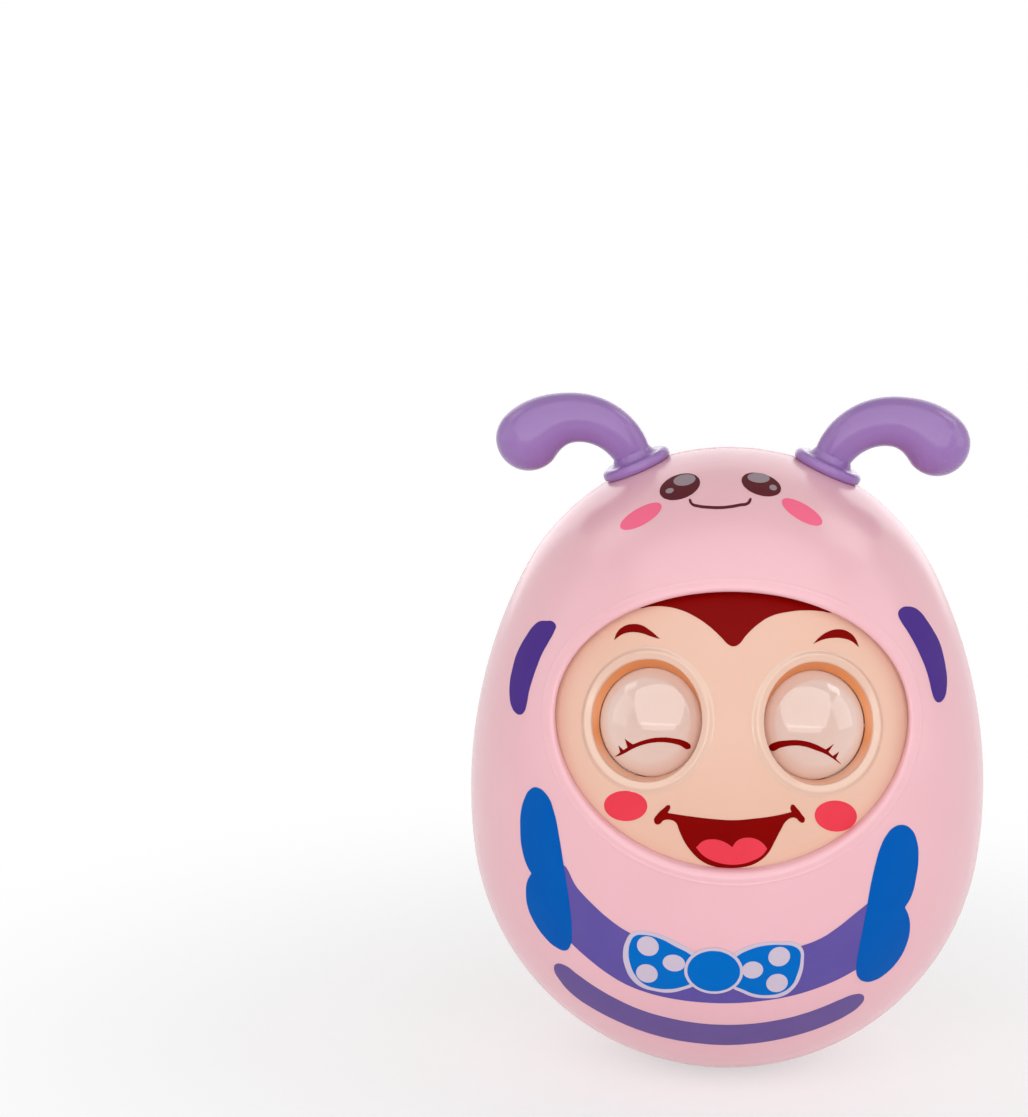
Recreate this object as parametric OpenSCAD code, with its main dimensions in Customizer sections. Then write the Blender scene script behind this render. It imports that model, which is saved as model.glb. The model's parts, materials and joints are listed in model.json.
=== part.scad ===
// Roly-poly bee rattle: an egg-shaped two-part shell with a low weight, a doll face whose
// eyes open and shut as it rocks, two soft antennae and a bell with a swinging clapper.
// The origin is the middle of the flat foot, +Z is up and the face looks along -Y.

/* [Body] */
// Largest diameter of the egg
body_d = 96; // [94:0.5:120]
// Height of the egg from the foot to the crown
body_h = 116.5; // [112:0.5:145]
// Height of the widest ring above the middle of the base's round
equator_rise = 5; // [3:0.5:9]
// How much smaller the crown's radius is than the egg's
crown_drop = 5.1; // [4:0.1:8]
// How much smaller the base's radius is than the egg's
base_drop = 0.3; // [0.2:0.1:2]
// Diameter of the flat that the egg stands on
foot_d = 16; // [10:1:24]
// Wall of the two shells
wall = 2.2; // [1.8:0.1:3]
// How far the rear shell's tongue reaches into the front shell
lip_h = 1.5; // [1:0.1:2.5]
// Gap between the tongue and its rebate
lip_gap = 0.1; // [0.05:0.01:0.2]

/* [Shell screws] */
// Distance between the two upper screws
upper_screw_span = 68; // [64:0.5:68.5]
// Height of the two upper screws
upper_screw_z = 86; // [84:0.5:87]
// Distance between the two lower screws
lower_screw_span = 60; // [50:1:66]
// Height of the two lower screws
lower_screw_z = 27; // [24:0.5:34]
// Diameter of the posts that the screws join
post_d = 8.8; // [8.4:0.1:9.6]
// Diameter of the well that each screw head sits in
well_d = 5.8; // [5.6:0.1:6.4]
// Depth of the post left under the screw head
post_floor = 8; // [5:0.5:12]

/* [Face] */
// Width of the face opening
face_w = 62.6; // [58:0.2:64]
// Height of the face opening
face_h = 47.6; // [44:0.2:50]
// Height of the middle of the face
face_z = 73; // [71:0.5:76]
// How far the face plate reaches behind the shell
face_flange = 4; // [3:0.5:5]
// Thickness of the face plate
plate_t = 2; // [1.6:0.1:3]
// Gap between the face plate and the shell in front of it
plate_gap = 0.3; // [0.2:0.05:0.5]
// Distance between the left and right face screws
face_screw_w = 40; // [36:1:44]
// Distance between the upper and lower face screws
face_screw_h = 49; // [48:0.5:52]

/* [Eyes] */
// Distance between the middles of the two eye rings
eye_spacing = 30.4; // [28:0.2:33]
// Height of the eye rings above the middle of the face
eye_rise = 1.1; // [-2:0.1:4]
// Diameter of each eyeball
eye_d = 22; // [21.8:0.1:26.4]
// Diameter of the hole that each eye looks through
eye_hole_d = 21.4; // [18:0.1:21.6]
// Width of the raised ring around each eye hole
ring_w = 1.4; // [1:0.1:2]
// Height of the raised ring
ring_h = 1; // [0.6:0.1:1.6]
// How far the eyeball bulges out of the face plate
eye_proud = 2.7; // [2:0.1:3.4]
// Gap between an eyeball and its socket
eye_clear = 0.4; // [0.3:0.05:0.6]
// Depth of the collar behind each eye hole
collar_depth = 2; // [1:0.1:3]
// Thickness of the eyelid cap
lid_t = 1.4; // [1:0.1:2]
// Direction of the lid's lower edge when shut, below level, in degrees
lid_edge = 53; // [46:1:60]
// Diameter of the eye axles
axle_d = 1.6; // [1.4:0.1:2]
// Length of axle inside each bearing
axle_reach = 1.4; // [1:0.1:1.6]
// Width of the rib between the eyes that carries both inner axle ends
rib_w = 3.4; // [3.2:0.1:5]
// Distance between the two screws of the axle keeper
keeper_pitch = 13; // [12:0.5:16]
// Diameter of the steel slug inside each eye
slug_d = 5; // [4:0.1:5.2]
// Length of the steel slug
slug_l = 9; // [6:0.5:10]
// Distance of the slug from the eye's axle
slug_off = 6.2; // [5.6:0.1:6.6]
// Direction of the slug when the eye is shut, below level, in degrees
slug_dir = 80; // [74:1:88]
// Angle that the eyes turn through from shut to open
eye_turn = 80; // [50:5:85]
// Diameter of the peg that stops both eyes
stop_d = 1.6; // [1.2:0.1:2]
// Distance of the peg from the eyes' axles
stop_off = 5; // [4.5:0.1:5.5]
// How far the peg reaches out of the rib's sides
stop_reach = 3.2; // [2.8:0.1:3.6]

/* [Antennae] */
// Lean of each antenna's root from upright, in degrees
antenna_lean = 24; // [20:1:30]
// Diameter of the flange that sits on the crown
antenna_flange_d = 13; // [11:0.5:15]
// Thickness of the flange
antenna_flange_t = 1.6; // [1.2:0.1:2.4]
// Diameter of the neck that passes through the shells
antenna_neck_d = 7; // [5:0.5:8]
// Diameter of the bead that holds the neck inside the shells
antenna_bead_d = 10; // [9:0.5:11]
// Length of straight stem between the flange and the bend
antenna_rise = 1.6; // [0.4:0.2:4]
// Radius of the bend along the antenna's middle
antenna_bend_r = 11.5; // [9:0.5:14]
// Angle that the antenna bends through
antenna_bend = 115; // [90:5:130]
// Diameter of the antenna at its root
antenna_root_d = 6.8; // [5:0.2:8]
// Diameter of the antenna before it swells
antenna_stem_d = 10.4; // [8:0.2:11]
// Diameter of the round end
antenna_bulb_d = 12.2; // [11:0.2:14]

/* [Weight] */
// Height of the weight's top above the foot
weight_top = 14; // [12.5:0.5:20]
// Gap between the weight and the shells
weight_gap = 0.3; // [0.2:0.1:0.6]
// Distance between the two weight screws
weight_screw_w = 32; // [28:1:34]
// How far behind the seam the weight screws stand
weight_screw_y = 12; // [8:0.5:14]
// Thickness of the weight left under the screw heads
weight_web = 4; // [3:0.5:5]

/* [Bell] */
// Outer diameter of the bell
bell_d = 30; // [26:1:36]
// Height of the straight skirt below the bell's dome
bell_skirt = 7; // [5:0.5:10]
// Thickness of the bell
bell_t = 1.2; // [1:0.1:1.6]
// How far behind the seam the bell hangs
bell_y = 8; // [6:0.5:10]
// Height of the bracket's arm
arm_z = 64; // [60:0.5:70]
// Thickness of the bracket's sheet steel
bracket_t = 1.5; // [1.2:0.1:2]
// Width of the bracket's arm
arm_w = 16; // [12:1:20]
// Height of the bracket's upright
bracket_h = 13; // [12:0.5:18]
// Distance between the two bracket screws
bracket_screw_w = 18; // [16:1:24]
// Length of the posts behind the bracket
bracket_post = 8.7; // [6:0.1:12]
// Length of the spacer above the bell
spacer_l = 4; // [3:0.5:8]
// Diameter of the bell's bolt
bolt_d = 3; // [3:0.1:4]
// Thickness of the tongue at the bolt's lower end
tongue_t = 2; // [1.6:0.1:2.4]
// Distance from the bell's crown to the clapper's pivot
pivot_drop = 9.5; // [8.5:0.5:12]
// Length of the clapper from its pivot to the middle of its ball
clapper_l = 12.5; // [12:0.5:15]
// Diameter of the clapper's ball
clapper_ball_d = 9; // [7:0.5:10]
// Diameter of the clapper's pin
clapper_pin_d = 1.5; // [1.2:0.1:1.6]

/* [Fits] */
// Radial clearance of a pin that turns in its bore
run_fit = 0.05; // [0.03:0.01:0.1]
// Radial clearance of a part that is fixed in its bore
seat_fit = 0.02; // [0.01:0.01:0.05]
// Radial clearance round a screw or a locating post
screw_fit = 0.2; // [0.1:0.05:0.4]

/* [Hidden] */
$fn = 160;

shell_pink = "#f2bfc6";
face_peach = "#ecc3ac";
lid_peach = "#e8bda6";
eye_ivory = "#f4f1ea";
antenna_purple = "#a07db8";
steel = "#b4b7ba";
iron = "#5a5c5e";
brass = "#c9a24b";

// Far enough to pass right through the body
reach = body_d + body_h;
// How far a cut runs past the face that it opens
over = 1;
// Depth of the egg's core below its outline
core_depth = 0.2;
// Width and length of a screw's slots, as parts of its head's radius
slot_w_ratio = 0.3;
slot_l_ratio = 1.2;

// The egg's half outline is four tangent arcs: base, lower side, upper side and crown.
half_d = body_d / 2;
base_r = half_d - base_drop;
crown_r = half_d - crown_drop;
base_z = sqrt(pow(base_r, 2) - pow(foot_d / 2, 2));
equator_z = base_z + equator_rise;
crown_z = body_h - crown_r;
low_r = (pow(equator_rise, 2) + pow(half_d, 2) - pow(base_r, 2)) / (2 * base_drop);
high_r = (pow(crown_z - equator_z, 2) + pow(half_d, 2) - pow(crown_r, 2)) / (2 * crown_drop);
base_dir = [low_r - half_d, base_z - equator_z] / (low_r - base_r);
crown_dir = [high_r - half_d, crown_z - equator_z] / (high_r - crown_r);

// Radius of the egg at height z, a distance inset below its outer face
function egg_r(z, inset) =
    z < base_z + (base_r - inset) * base_dir[1]
        ? sqrt(pow(base_r - inset, 2) - pow(z - base_z, 2))
    : z < equator_z
        ? half_d - low_r + sqrt(pow(low_r - inset, 2) - pow(z - equator_z, 2))
    : z < crown_z + (crown_r - inset) * crown_dir[1]
        ? half_d - high_r + sqrt(pow(high_r - inset, 2) - pow(z - equator_z, 2))
    : sqrt(pow(crown_r - inset, 2) - pow(z - crown_z, 2));

// Depth of the egg's front from the seam at the point x, z
function egg_y(x, z, inset) = sqrt(pow(egg_r(z, inset), 2) - pow(x, 2));

// Upward slope of the egg's outward normal at height z, in degrees, above its widest ring
function egg_slope(z, inset) =
    z < crown_z + (crown_r - inset) * crown_dir[1]
        ? asin((z - equator_z) / (high_r - inset))
    : asin((z - crown_z) / (crown_r - inset));

// The tongue and its rebate run round the seam, and end below the upper posts and the crown's round.
lip_end = 1;
lip_top = min(upper_screw_z - post_d / 2, crown_z + (crown_r - wall) * crown_dir[1]) - lip_end;

// The face plate lies just behind the shell's inner face.
plate_in = wall + plate_gap;
plate_back = plate_in + plate_t;
// How deep a rib or post is rooted in the wall that carries it
root = 0.4;
face_ear_r = 4.6;
face_post_r = 2.6;
face_screw_r = 1;
face_head_r = 4.2;
face_head_h = 1.6;
face_screw_l = 6;
// How far the flat seat of a face screw's head clears the plate's sloping back
face_pad = 0.2;

// Each eye looks along the normal of the face plate at the middle of its ring.
eye_r = eye_d / 2;
eye_x = eye_spacing / 2;
eye_z = face_z + eye_rise;
eye_slope = egg_slope(eye_z, plate_in);
eye_turn_out = asin(eye_x / egg_r(eye_z, plate_in));
ring_point = [eye_x, -egg_y(eye_x, eye_z, plate_in), eye_z];
eye_dir = [cos(eye_slope) * sin(eye_turn_out), -cos(eye_slope) * cos(eye_turn_out), sin(eye_slope)];
eye_sink = eye_r - eye_proud;
socket_r = eye_r + eye_clear;
// The rib between the eyes stands clear of both sockets.
rib_gap = 0.1;
ball_x = socket_r + rib_gap + rib_w / 2;
ball_y = ring_point[1] - eye_sink * eye_dir[1];
ball_z = eye_z - eye_sink * eye_dir[2];
ball = [ball_x, ball_y, ball_z];
hole_r = eye_hole_d / 2;
axle_r = axle_d / 2;
axle_in = rib_w / 2 - axle_reach;
axle_out = ball_x + socket_r + axle_reach;
bearing_r = 2.4;
bearing_end = 1;
lid_in = eye_r - lid_t;

// The stop peg stands just in front of straight below the axles. Each eye has a recess in its
// inner flank, and the recess's two ends meet the peg when the eye is shut and when it is open.
stop_dir = 80;
stop_gap = 0.3;
stop_y = ball_y - stop_off * cos(stop_dir);
stop_z = ball_z - stop_off * sin(stop_dir);
stop_out = rib_w / 2 + stop_reach;
// Half the angle that the peg and its gap take up at their distance from the axle
stop_half = asin((stop_d / 2 + stop_gap) / stop_off);

keeper_t = 2.5;
keeper_r = 2.6;
keeper_screw_r = 0.9;
keeper_head_r = 1.7;
keeper_head_h = 1.3;
keeper_screw_l = 5.5;

shell_screw_r = 1.4;
shell_head_r = 2.5;
shell_head_h = 2;
shell_screw_l = 18;
screw_posts = [[upper_screw_span / 2, upper_screw_z], [lower_screw_span / 2, lower_screw_z]];

weight_screw_r = 1.3;
weight_head_r = 2.6;
weight_head_h = 1.8;
weight_screw_l = 8;
weight_post_r = 3.6;
weight_seat = weight_top - weight_web;

arm_under = arm_z - bracket_t;
bell_top = arm_under - spacer_l;
bell_r = bell_d / 2;
bell_mid = bell_top - bell_r;
bell_mouth = bell_mid - bell_skirt;
// Height of the two bracket screws, in the middle of the upright
bracket_screw_z = arm_z - bracket_h / 2 - bracket_t / 2;
bracket_back = egg_y(bracket_screw_w / 2, bracket_screw_z, wall) - bracket_post;
bracket_front = bracket_back - bracket_t;
bracket_post_r = 3.4;
bracket_screw_r = 1.25;
bracket_head_r = 2.6;
bracket_head_h = 1.8;
bracket_screw_l = 7.5;
bracket_w = bracket_screw_w + 4 * bracket_head_r;

bolt_r = bolt_d / 2;
// Half the width across the corners of the bolt's head and nut, and the radius of the spacer
bolt_land = 1.6;
hex_r = bolt_r + bolt_land;
hex_h = 2.2;
spacer_r = bolt_r + bolt_land;
// The nut's corners meet the inside of the bell's dome.
nut_top = bell_mid + sqrt(pow(bell_r - bell_t, 2) - pow(hex_r, 2)) - seat_fit;
pivot_z = bell_top - pivot_drop;
pin_r = clapper_pin_d / 2;
// Metal left round the pin's bore, and bolt left round below the nut
pin_land = 1.2;
nut_clear = 1;
tongue_end = pivot_z - pin_r - pin_land;
tongue_top = nut_top - hex_h - nut_clear;
fork_gap = 0.2;
fork_t = 1.2;
fork_w = 4;
fork_rise = 2;
fork_drop = 4;
bridge_h = 2.4;
rod_r = 1.1;
fork_in = tongue_t / 2 + fork_gap;
fork_out = fork_in + fork_t;

// A round bar along Y from y0 to y1
module bar_y(x, z, y0, y1, r) {
    translate([x, y1, z])
        rotate([90, 0, 0])
            cylinder(r = r, h = y1 - y0);
}

// A round bar along X from x0 to x1
module bar_x(y, z, x0, x1, r) {
    translate([x0, y, z])
        rotate([0, 90, 0])
            cylinder(r = r, h = x1 - x0);
}

// A flat outline in x and z, drawn out from y0 to y1
module slab_y(y0, y1) {
    translate([0, y1, 0])
        rotate([90, 0, 0])
            linear_extrude(y1 - y0)
                children();
}

// Something on the right, and the same on the left
module both_sides() {
    children();
    mirror([1, 0, 0])
        children();
}

// A pan-head screw that points down from the underside of its head at the origin
module screw(head_r, head_h, shank_r, length) {
    slot_w = head_r * slot_w_ratio;
    slot_l = head_r * slot_l_ratio;
    difference() {
        union() {
            translate([0, 0, -length])
                cylinder(r = shank_r, h = length + head_h / 2);
            cylinder(r = head_r, h = head_h);
        }
        for (turn = [0, 90])
            rotate([0, 0, turn])
                translate([-slot_l / 2, -slot_w / 2, head_h / 2])
                    cube([slot_l, slot_w, head_h]);
    }
}

// One arc's share of the egg's half outline: a circle kept between two rays from the axis
module egg_arc(centre, r, corners) {
    intersection() {
        translate(centre)
            circle(r = r);
        polygon(corners);
    }
}

// The egg's half outline, a distance inset below its outer face
module egg_half(inset) {
    base_far = [0, base_z] + reach * base_dir;
    crown_far = [0, crown_z] + reach * crown_dir;
    // The four arcs' shares only meet along rays, so a core a little inside the outline joins them.
    core_in = inset + core_depth;
    intersection() {
        union() {
            egg_arc([0, base_z], base_r - inset,
                [[0, base_z], [0, -reach], [reach, -reach], base_far]);
            egg_arc([half_d - low_r, equator_z], low_r - inset,
                [[0, base_z], base_far, [reach, equator_z], [0, equator_z]]);
            egg_arc([half_d - high_r, equator_z], high_r - inset,
                [[0, equator_z], [reach, equator_z], crown_far, [0, crown_z]]);
            egg_arc([0, crown_z], crown_r - inset,
                [[0, crown_z], crown_far, [reach, 2 * reach], [0, 2 * reach]]);
            polygon([[0, core_in], [0, base_z] + (base_r - core_in) * base_dir,
                [half_d - core_in, equator_z],
                [0, crown_z] + (crown_r - core_in) * crown_dir, [0, body_h - core_in]]);
        }
        square([reach, reach]);
    }
}

// The whole egg, inset all round
module egg(inset) {
    rotate_extrude()
        egg_half(inset);
}

// The layer of the egg between two depths
module egg_layer(outer, inner) {
    rotate_extrude()
        difference() {
            egg_half(outer);
            egg_half(inner);
        }
}

// The neck holes of the antennae, half in each shell
module antenna_holes() {
    both_sides()
        translate([0, 0, crown_z])
            rotate([0, antenna_lean, 0])
                rotate([0, 0, 90])
                    cylinder(d = antenna_neck_d + 2 * screw_fit, h = reach);
}

// The rear half of the shell's wall, with half of each antenna's neck hole
module half_wall() {
    difference() {
        rotate_extrude(angle = 180)
            difference() {
                egg_half(0);
                egg_half(wall);
            }
        antenna_holes();
    }
}

// The oval of the face opening in x and z, grown by a margin
module face_oval(margin) {
    translate([0, face_z])
        scale([1, (face_h / 2 + margin) / (face_w / 2 + margin)])
            circle(r = face_w / 2 + margin);
}

// The plane behind the face plate that a face screw's head sits on
function face_seat(side) =
    let (x = face_screw_w / 2, z = face_z + side * face_screw_h / 2, slant = face_head_r * cos(45))
    face_pad - min(egg_y(x + face_head_r, z, plate_back),
        egg_y(x + slant, z + side * slant, plate_back));

// A bar along Y at each face screw, from the shell to y1 past its seat, kept inside a depth of the egg
module face_posts(r, y1, inset) {
    intersection() {
        for (x = [-1, 1], z = [-1, 1])
            bar_y(x * face_screw_w / 2, face_z + z * face_screw_h / 2, -reach, face_seat(z) + y1, r);
        egg(inset);
    }
}

// Bars along Y at the four shell screws
module shell_bars(y0, y1, r) {
    for (post = screw_posts, side = [-1, 1])
        bar_y(side * post[0], post[1], y0, y1, r);
}

module front_shell() {
    color(shell_pink)
    difference() {
        union() {
            difference() {
                rotate([0, 0, 180])
                    half_wall();
                intersection() {
                    egg(wall / 2);
                    translate([-reach, -lip_h, -reach])
                        cube([2 * reach, reach, reach + lip_top]);
                }
                slab_y(-reach, -lip_h)
                    face_oval(0);
            }
            intersection() {
                shell_bars(-reach, 0, post_d / 2);
                egg(wall - root);
            }
            face_posts(face_post_r, -screw_fit, wall - root);
        }
        shell_bars(post_floor - shell_screw_l - over, over, shell_screw_r + seat_fit);
        for (x = [-1, 1], z = [-1, 1])
            bar_y(x * face_screw_w / 2, face_z + z * face_screw_h / 2,
                face_seat(z) - face_screw_l, face_seat(z), face_screw_r + seat_fit);
    }
}

module rear_shell() {
    color(shell_pink)
    difference() {
        union() {
            half_wall();
            intersection() {
                egg_layer(wall / 2 + lip_gap, wall + root);
                translate([-reach, lip_gap - lip_h, -reach])
                    cube([2 * reach, 2 * lip_h, reach + lip_top - lip_gap]);
            }
            intersection() {
                union() {
                    shell_bars(0, reach, post_d / 2);
                    for (side = [-1, 1])
                        bar_y(side * bracket_screw_w / 2, bracket_screw_z,
                            bracket_back, reach, bracket_post_r);
                }
                egg(wall - root);
            }
            intersection() {
                both_sides()
                    translate([weight_screw_w / 2, weight_screw_y, 0])
                        cylinder(r = weight_post_r, h = weight_seat);
                egg(wall - root);
            }
        }
        shell_bars(-over, reach, shell_screw_r + screw_fit);
        shell_bars(post_floor, reach, well_d / 2);
        for (side = [-1, 1]) {
            bar_y(side * bracket_screw_w / 2, bracket_screw_z,
                bracket_back - over, bracket_front + bracket_screw_l, bracket_screw_r + seat_fit);
            translate([side * weight_screw_w / 2, weight_screw_y, weight_top - weight_screw_l])
                cylinder(r = weight_screw_r + seat_fit, h = weight_screw_l);
        }
    }
}

module shell_screws() {
    color(steel)
    for (post = screw_posts, side = [-1, 1])
        translate([side * post[0], post_floor, post[1]])
            rotate([-90, 0, 0])
                screw(shell_head_r, shell_head_h, shell_screw_r, shell_screw_l);
}

// Something placed at the right eye's ring, with +Z looking out of the eye
module at_ring() {
    translate(ring_point)
        rotate([90 - eye_slope, 0, eye_turn_out])
            children();
}

// The raised ring and the collar of one eye, before the eye hole is cut
module eye_ring() {
    intersection() {
        egg_layer(plate_in - ring_h, plate_back + collar_depth);
        at_ring()
            translate([0, 0, -eye_r])
                cylinder(r = hole_r + ring_w, h = 2 * eye_r);
    }
}

// The boss that carries the outer end of one eye's axle
module outer_bearing() {
    intersection() {
        bar_x(ball_y, ball_z, ball_x + hole_r, axle_out + bearing_end, bearing_r);
        egg(plate_in + root);
    }
}

// The rib between the eyes, with a boss for each keeper screw
module centre_rib() {
    intersection() {
        union() {
            translate([-rib_w / 2, -reach, ball_z - keeper_pitch / 2])
                cube([rib_w, reach + ball_y, keeper_pitch]);
            for (side = [-1, 1])
                bar_y(0, ball_z + side * keeper_pitch / 2, -reach, ball_y, keeper_r);
        }
        egg(plate_in + root);
    }
}

module face_plate() {
    color(face_peach)
    difference() {
        union() {
            difference() {
                union() {
                    intersection() {
                        egg_layer(plate_in, plate_back);
                        slab_y(-reach, 0)
                            union() {
                                face_oval(face_flange);
                                for (x = [-1, 1], z = [-1, 1])
                                    translate([x * face_screw_w / 2, face_z + z * face_screw_h / 2])
                                        circle(r = face_ear_r);
                            }
                    }
                    face_posts(face_ear_r, 0, plate_in + root);
                    both_sides() {
                        eye_ring();
                        outer_bearing();
                    }
                }
                both_sides() {
                    at_ring()
                        translate([0, 0, -eye_sink])
                            cylinder(r = hole_r, h = 2 * eye_r);
                    translate(ball)
                        sphere(r = socket_r);
                }
            }
            centre_rib();
            bar_x(stop_y, stop_z, -stop_out, stop_out, stop_d / 2);
        }
        both_sides()
            bar_x(ball_y, ball_z, -rib_w, axle_out + run_fit, axle_r + run_fit);
        for (x = [-1, 1], z = [-1, 1])
            bar_y(x * face_screw_w / 2, face_z + z * face_screw_h / 2,
                -reach, 0, face_post_r + screw_fit);
        for (side = [-1, 1])
            bar_y(0, ball_z + side * keeper_pitch / 2, ball_y + keeper_t - keeper_screw_l,
                ball_y + over, keeper_screw_r + seat_fit);
        shell_bars(-reach, over, post_d / 2 + screw_fit);
    }
}

module face_screws() {
    color(steel)
    for (z = [-1, 1], x = [-1, 1])
        translate([x * face_screw_w / 2, face_seat(z), face_z + z * face_screw_h / 2])
            rotate([-90, 0, 0])
                screw(face_head_r, face_head_h, face_screw_r, face_screw_l);
}

// The right eye's frame: its axle along X, the lid's side of the ball up and its edge level
module at_lid() {
    translate(ball)
        rotate([lid_edge, 0, 0])
            children();
}

// The lid's half of space in that frame, or the other half
module lid_half(up) {
    translate([-reach / 2, -reach / 2, up ? 0 : -reach])
        cube(reach);
}

// A bar along X inside the right eye's ball, in the slug's place
module slug_bar(x0, x1, r) {
    bar_x(ball_y - slug_off * cos(slug_dir), ball_z - slug_off * sin(slug_dir),
        ball_x + x0, ball_x + x1, r);
}

// The recess in the right eye's inner flank that the stop peg moves along
module stop_recess() {
    inner_r = stop_off - stop_d / 2 - stop_gap;
    translate([stop_out + stop_gap, ball_y, ball_z])
        rotate([0, 90, 0])
            rotate([0, 0, stop_dir - 90 - stop_half])
                rotate_extrude(angle = eye_turn + 2 * stop_half)
                    translate([inner_r, -eye_d])
                        square([eye_d, eye_d]);
}

module eye_white_right() {
    color(eye_ivory)
    difference() {
        at_lid()
            union() {
                sphere(r = lid_in - seat_fit);
                intersection() {
                    sphere(r = eye_r);
                    lid_half(false);
                }
            }
        bar_x(ball_y, ball_z, 0, reach, axle_r + seat_fit);
        slug_bar(-slug_l / 2, eye_d, slug_d / 2 + seat_fit);
        stop_recess();
    }
}

module eyelid_right() {
    color(lid_peach)
    difference() {
        at_lid()
            intersection() {
                difference() {
                    sphere(r = eye_r);
                    sphere(r = lid_in);
                }
                lid_half(true);
            }
        bar_x(ball_y, ball_z, 0, reach, axle_r + seat_fit);
    }
}

module eye_axle_right() {
    color(steel)
    bar_x(ball_y, ball_z, axle_in, axle_out, axle_r);
}

module eye_weight_right() {
    color(steel)
    slug_bar(-slug_l / 2, slug_l / 2, slug_d / 2);
}

module eye_white_left() {
    mirror([1, 0, 0])
        eye_white_right();
}

module eyelid_left() {
    mirror([1, 0, 0])
        eyelid_right();
}

module eye_axle_left() {
    mirror([1, 0, 0])
        eye_axle_right();
}

module eye_weight_left() {
    mirror([1, 0, 0])
        eye_weight_right();
}

module axle_keeper() {
    color(face_peach)
    difference() {
        slab_y(ball_y, ball_y + keeper_t)
            union() {
                translate([-rib_w / 2, ball_z - keeper_pitch / 2])
                    square([rib_w, keeper_pitch]);
                for (side = [-1, 1])
                    translate([0, ball_z + side * keeper_pitch / 2])
                        circle(r = keeper_r);
            }
        bar_x(ball_y, ball_z, -rib_w, rib_w, axle_r + run_fit);
        for (side = [-1, 1])
            bar_y(0, ball_z + side * keeper_pitch / 2, ball_y - over, ball_y + keeper_t + over,
                keeper_screw_r + screw_fit);
    }
}

module keeper_screws() {
    color(steel)
    for (side = [-1, 1])
        translate([0, ball_y + keeper_t, ball_z + side * keeper_pitch / 2])
            rotate([-90, 0, 0])
                screw(keeper_head_r, keeper_head_h, keeper_screw_r, keeper_screw_l);
}

// The antenna's middle line in its own frame, where +Z leaves the crown and +X leans outwards
antenna_start = crown_r + antenna_flange_t / 2;
function stem_point(turn) =
    [antenna_bend_r * (1 - cos(turn)), antenna_start + antenna_rise + antenna_bend_r * sin(turn)];
function stem_dir(turn) = [sin(turn), cos(turn)];
// The stem widens quickly from its root, then swells into the bulb over its last part.
swell_from = 0.6;
taper = 0.7;
function ease(t) = t * t * (3 - 2 * t);
function stem_r(t) =
    (antenna_root_d + (antenna_stem_d - antenna_root_d) * pow(t, taper)
    + (antenna_bulb_d - antenna_stem_d) * ease(max(0, (t - swell_from) / (1 - swell_from)))) / 2;
// Each ring is a middle point, a direction and a radius: the root, the bend, then the round end.
bend_steps = 18;
end_steps = 5;
// The round end closes with a small flat where the bulb's arc has turned this far.
end_turn = 80;
bulb_r = antenna_bulb_d / 2;
antenna_rings = concat(
    [[[0, antenna_start], stem_dir(0), stem_r(0)]],
    [for (i = [0 : bend_steps]) let (t = i / bend_steps, turn = t * antenna_bend)
        [stem_point(turn), stem_dir(turn), stem_r(t)]],
    [for (i = [1 : end_steps]) let (rise = end_turn * i / end_steps)
        [stem_point(antenna_bend) + bulb_r * sin(rise) * stem_dir(antenna_bend),
        stem_dir(antenna_bend), bulb_r * cos(rise)]]);
antenna_sides = 20;

// A tube through the antenna's rings, closed at both ends
module antenna_horn() {
    n = antenna_sides;
    last = len(antenna_rings) - 1;
    points = [for (ring = antenna_rings, k = [0 : n - 1])
        let (across = ring[2] * cos(360 * k / n), along = ring[2] * sin(360 * k / n))
        [ring[0][0] + across * ring[1][1], along, ring[0][1] - across * ring[1][0]]];
    sides = [for (i = [0 : last - 1], k = [0 : n - 1])
        let (a = i * n + k, b = i * n + (k + 1) % n)
        each [[a, a + n, b], [b, a + n, b + n]]];
    ends = [[for (k = [0 : n - 1]) k], [for (k = [n - 1 : -1 : 0]) last * n + k]];
    polyhedron(points = points, faces = concat(sides, ends), convexity = 4);
}

module antenna_right() {
    color(antenna_purple)
    translate([0, 0, crown_z])
        rotate([0, antenna_lean, 0]) {
            antenna_horn();
            intersection() {
                difference() {
                    sphere(r = crown_r + antenna_flange_t);
                    sphere(r = crown_r + lip_gap);
                }
                cylinder(d = antenna_flange_d, h = reach);
            }
            intersection() {
                difference() {
                    sphere(r = crown_r - wall - root - lip_gap);
                    sphere(r = crown_r - wall - root - antenna_flange_t);
                }
                cylinder(d = antenna_bead_d, h = reach);
            }
            translate([0, 0, crown_r - wall - antenna_flange_t])
                cylinder(d = antenna_neck_d, h = wall + 2 * antenna_flange_t);
        }
}

module antenna_left() {
    mirror([1, 0, 0])
        antenna_right();
}

module base_weight() {
    color(iron)
    difference() {
        intersection() {
            egg(wall + root + weight_gap);
            translate([-reach, -reach, 0])
                cube([2 * reach, 2 * reach, weight_top]);
        }
        both_sides()
            translate([weight_screw_w / 2, weight_screw_y, 0]) {
                cylinder(r = weight_post_r + screw_fit, h = weight_seat);
                cylinder(r = weight_screw_r + screw_fit, h = reach);
            }
    }
}

module weight_screws() {
    color(steel)
    for (side = [-1, 1])
        translate([side * weight_screw_w / 2, weight_screw_y, weight_top])
            screw(weight_head_r, weight_head_h, weight_screw_r, weight_screw_l);
}

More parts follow.
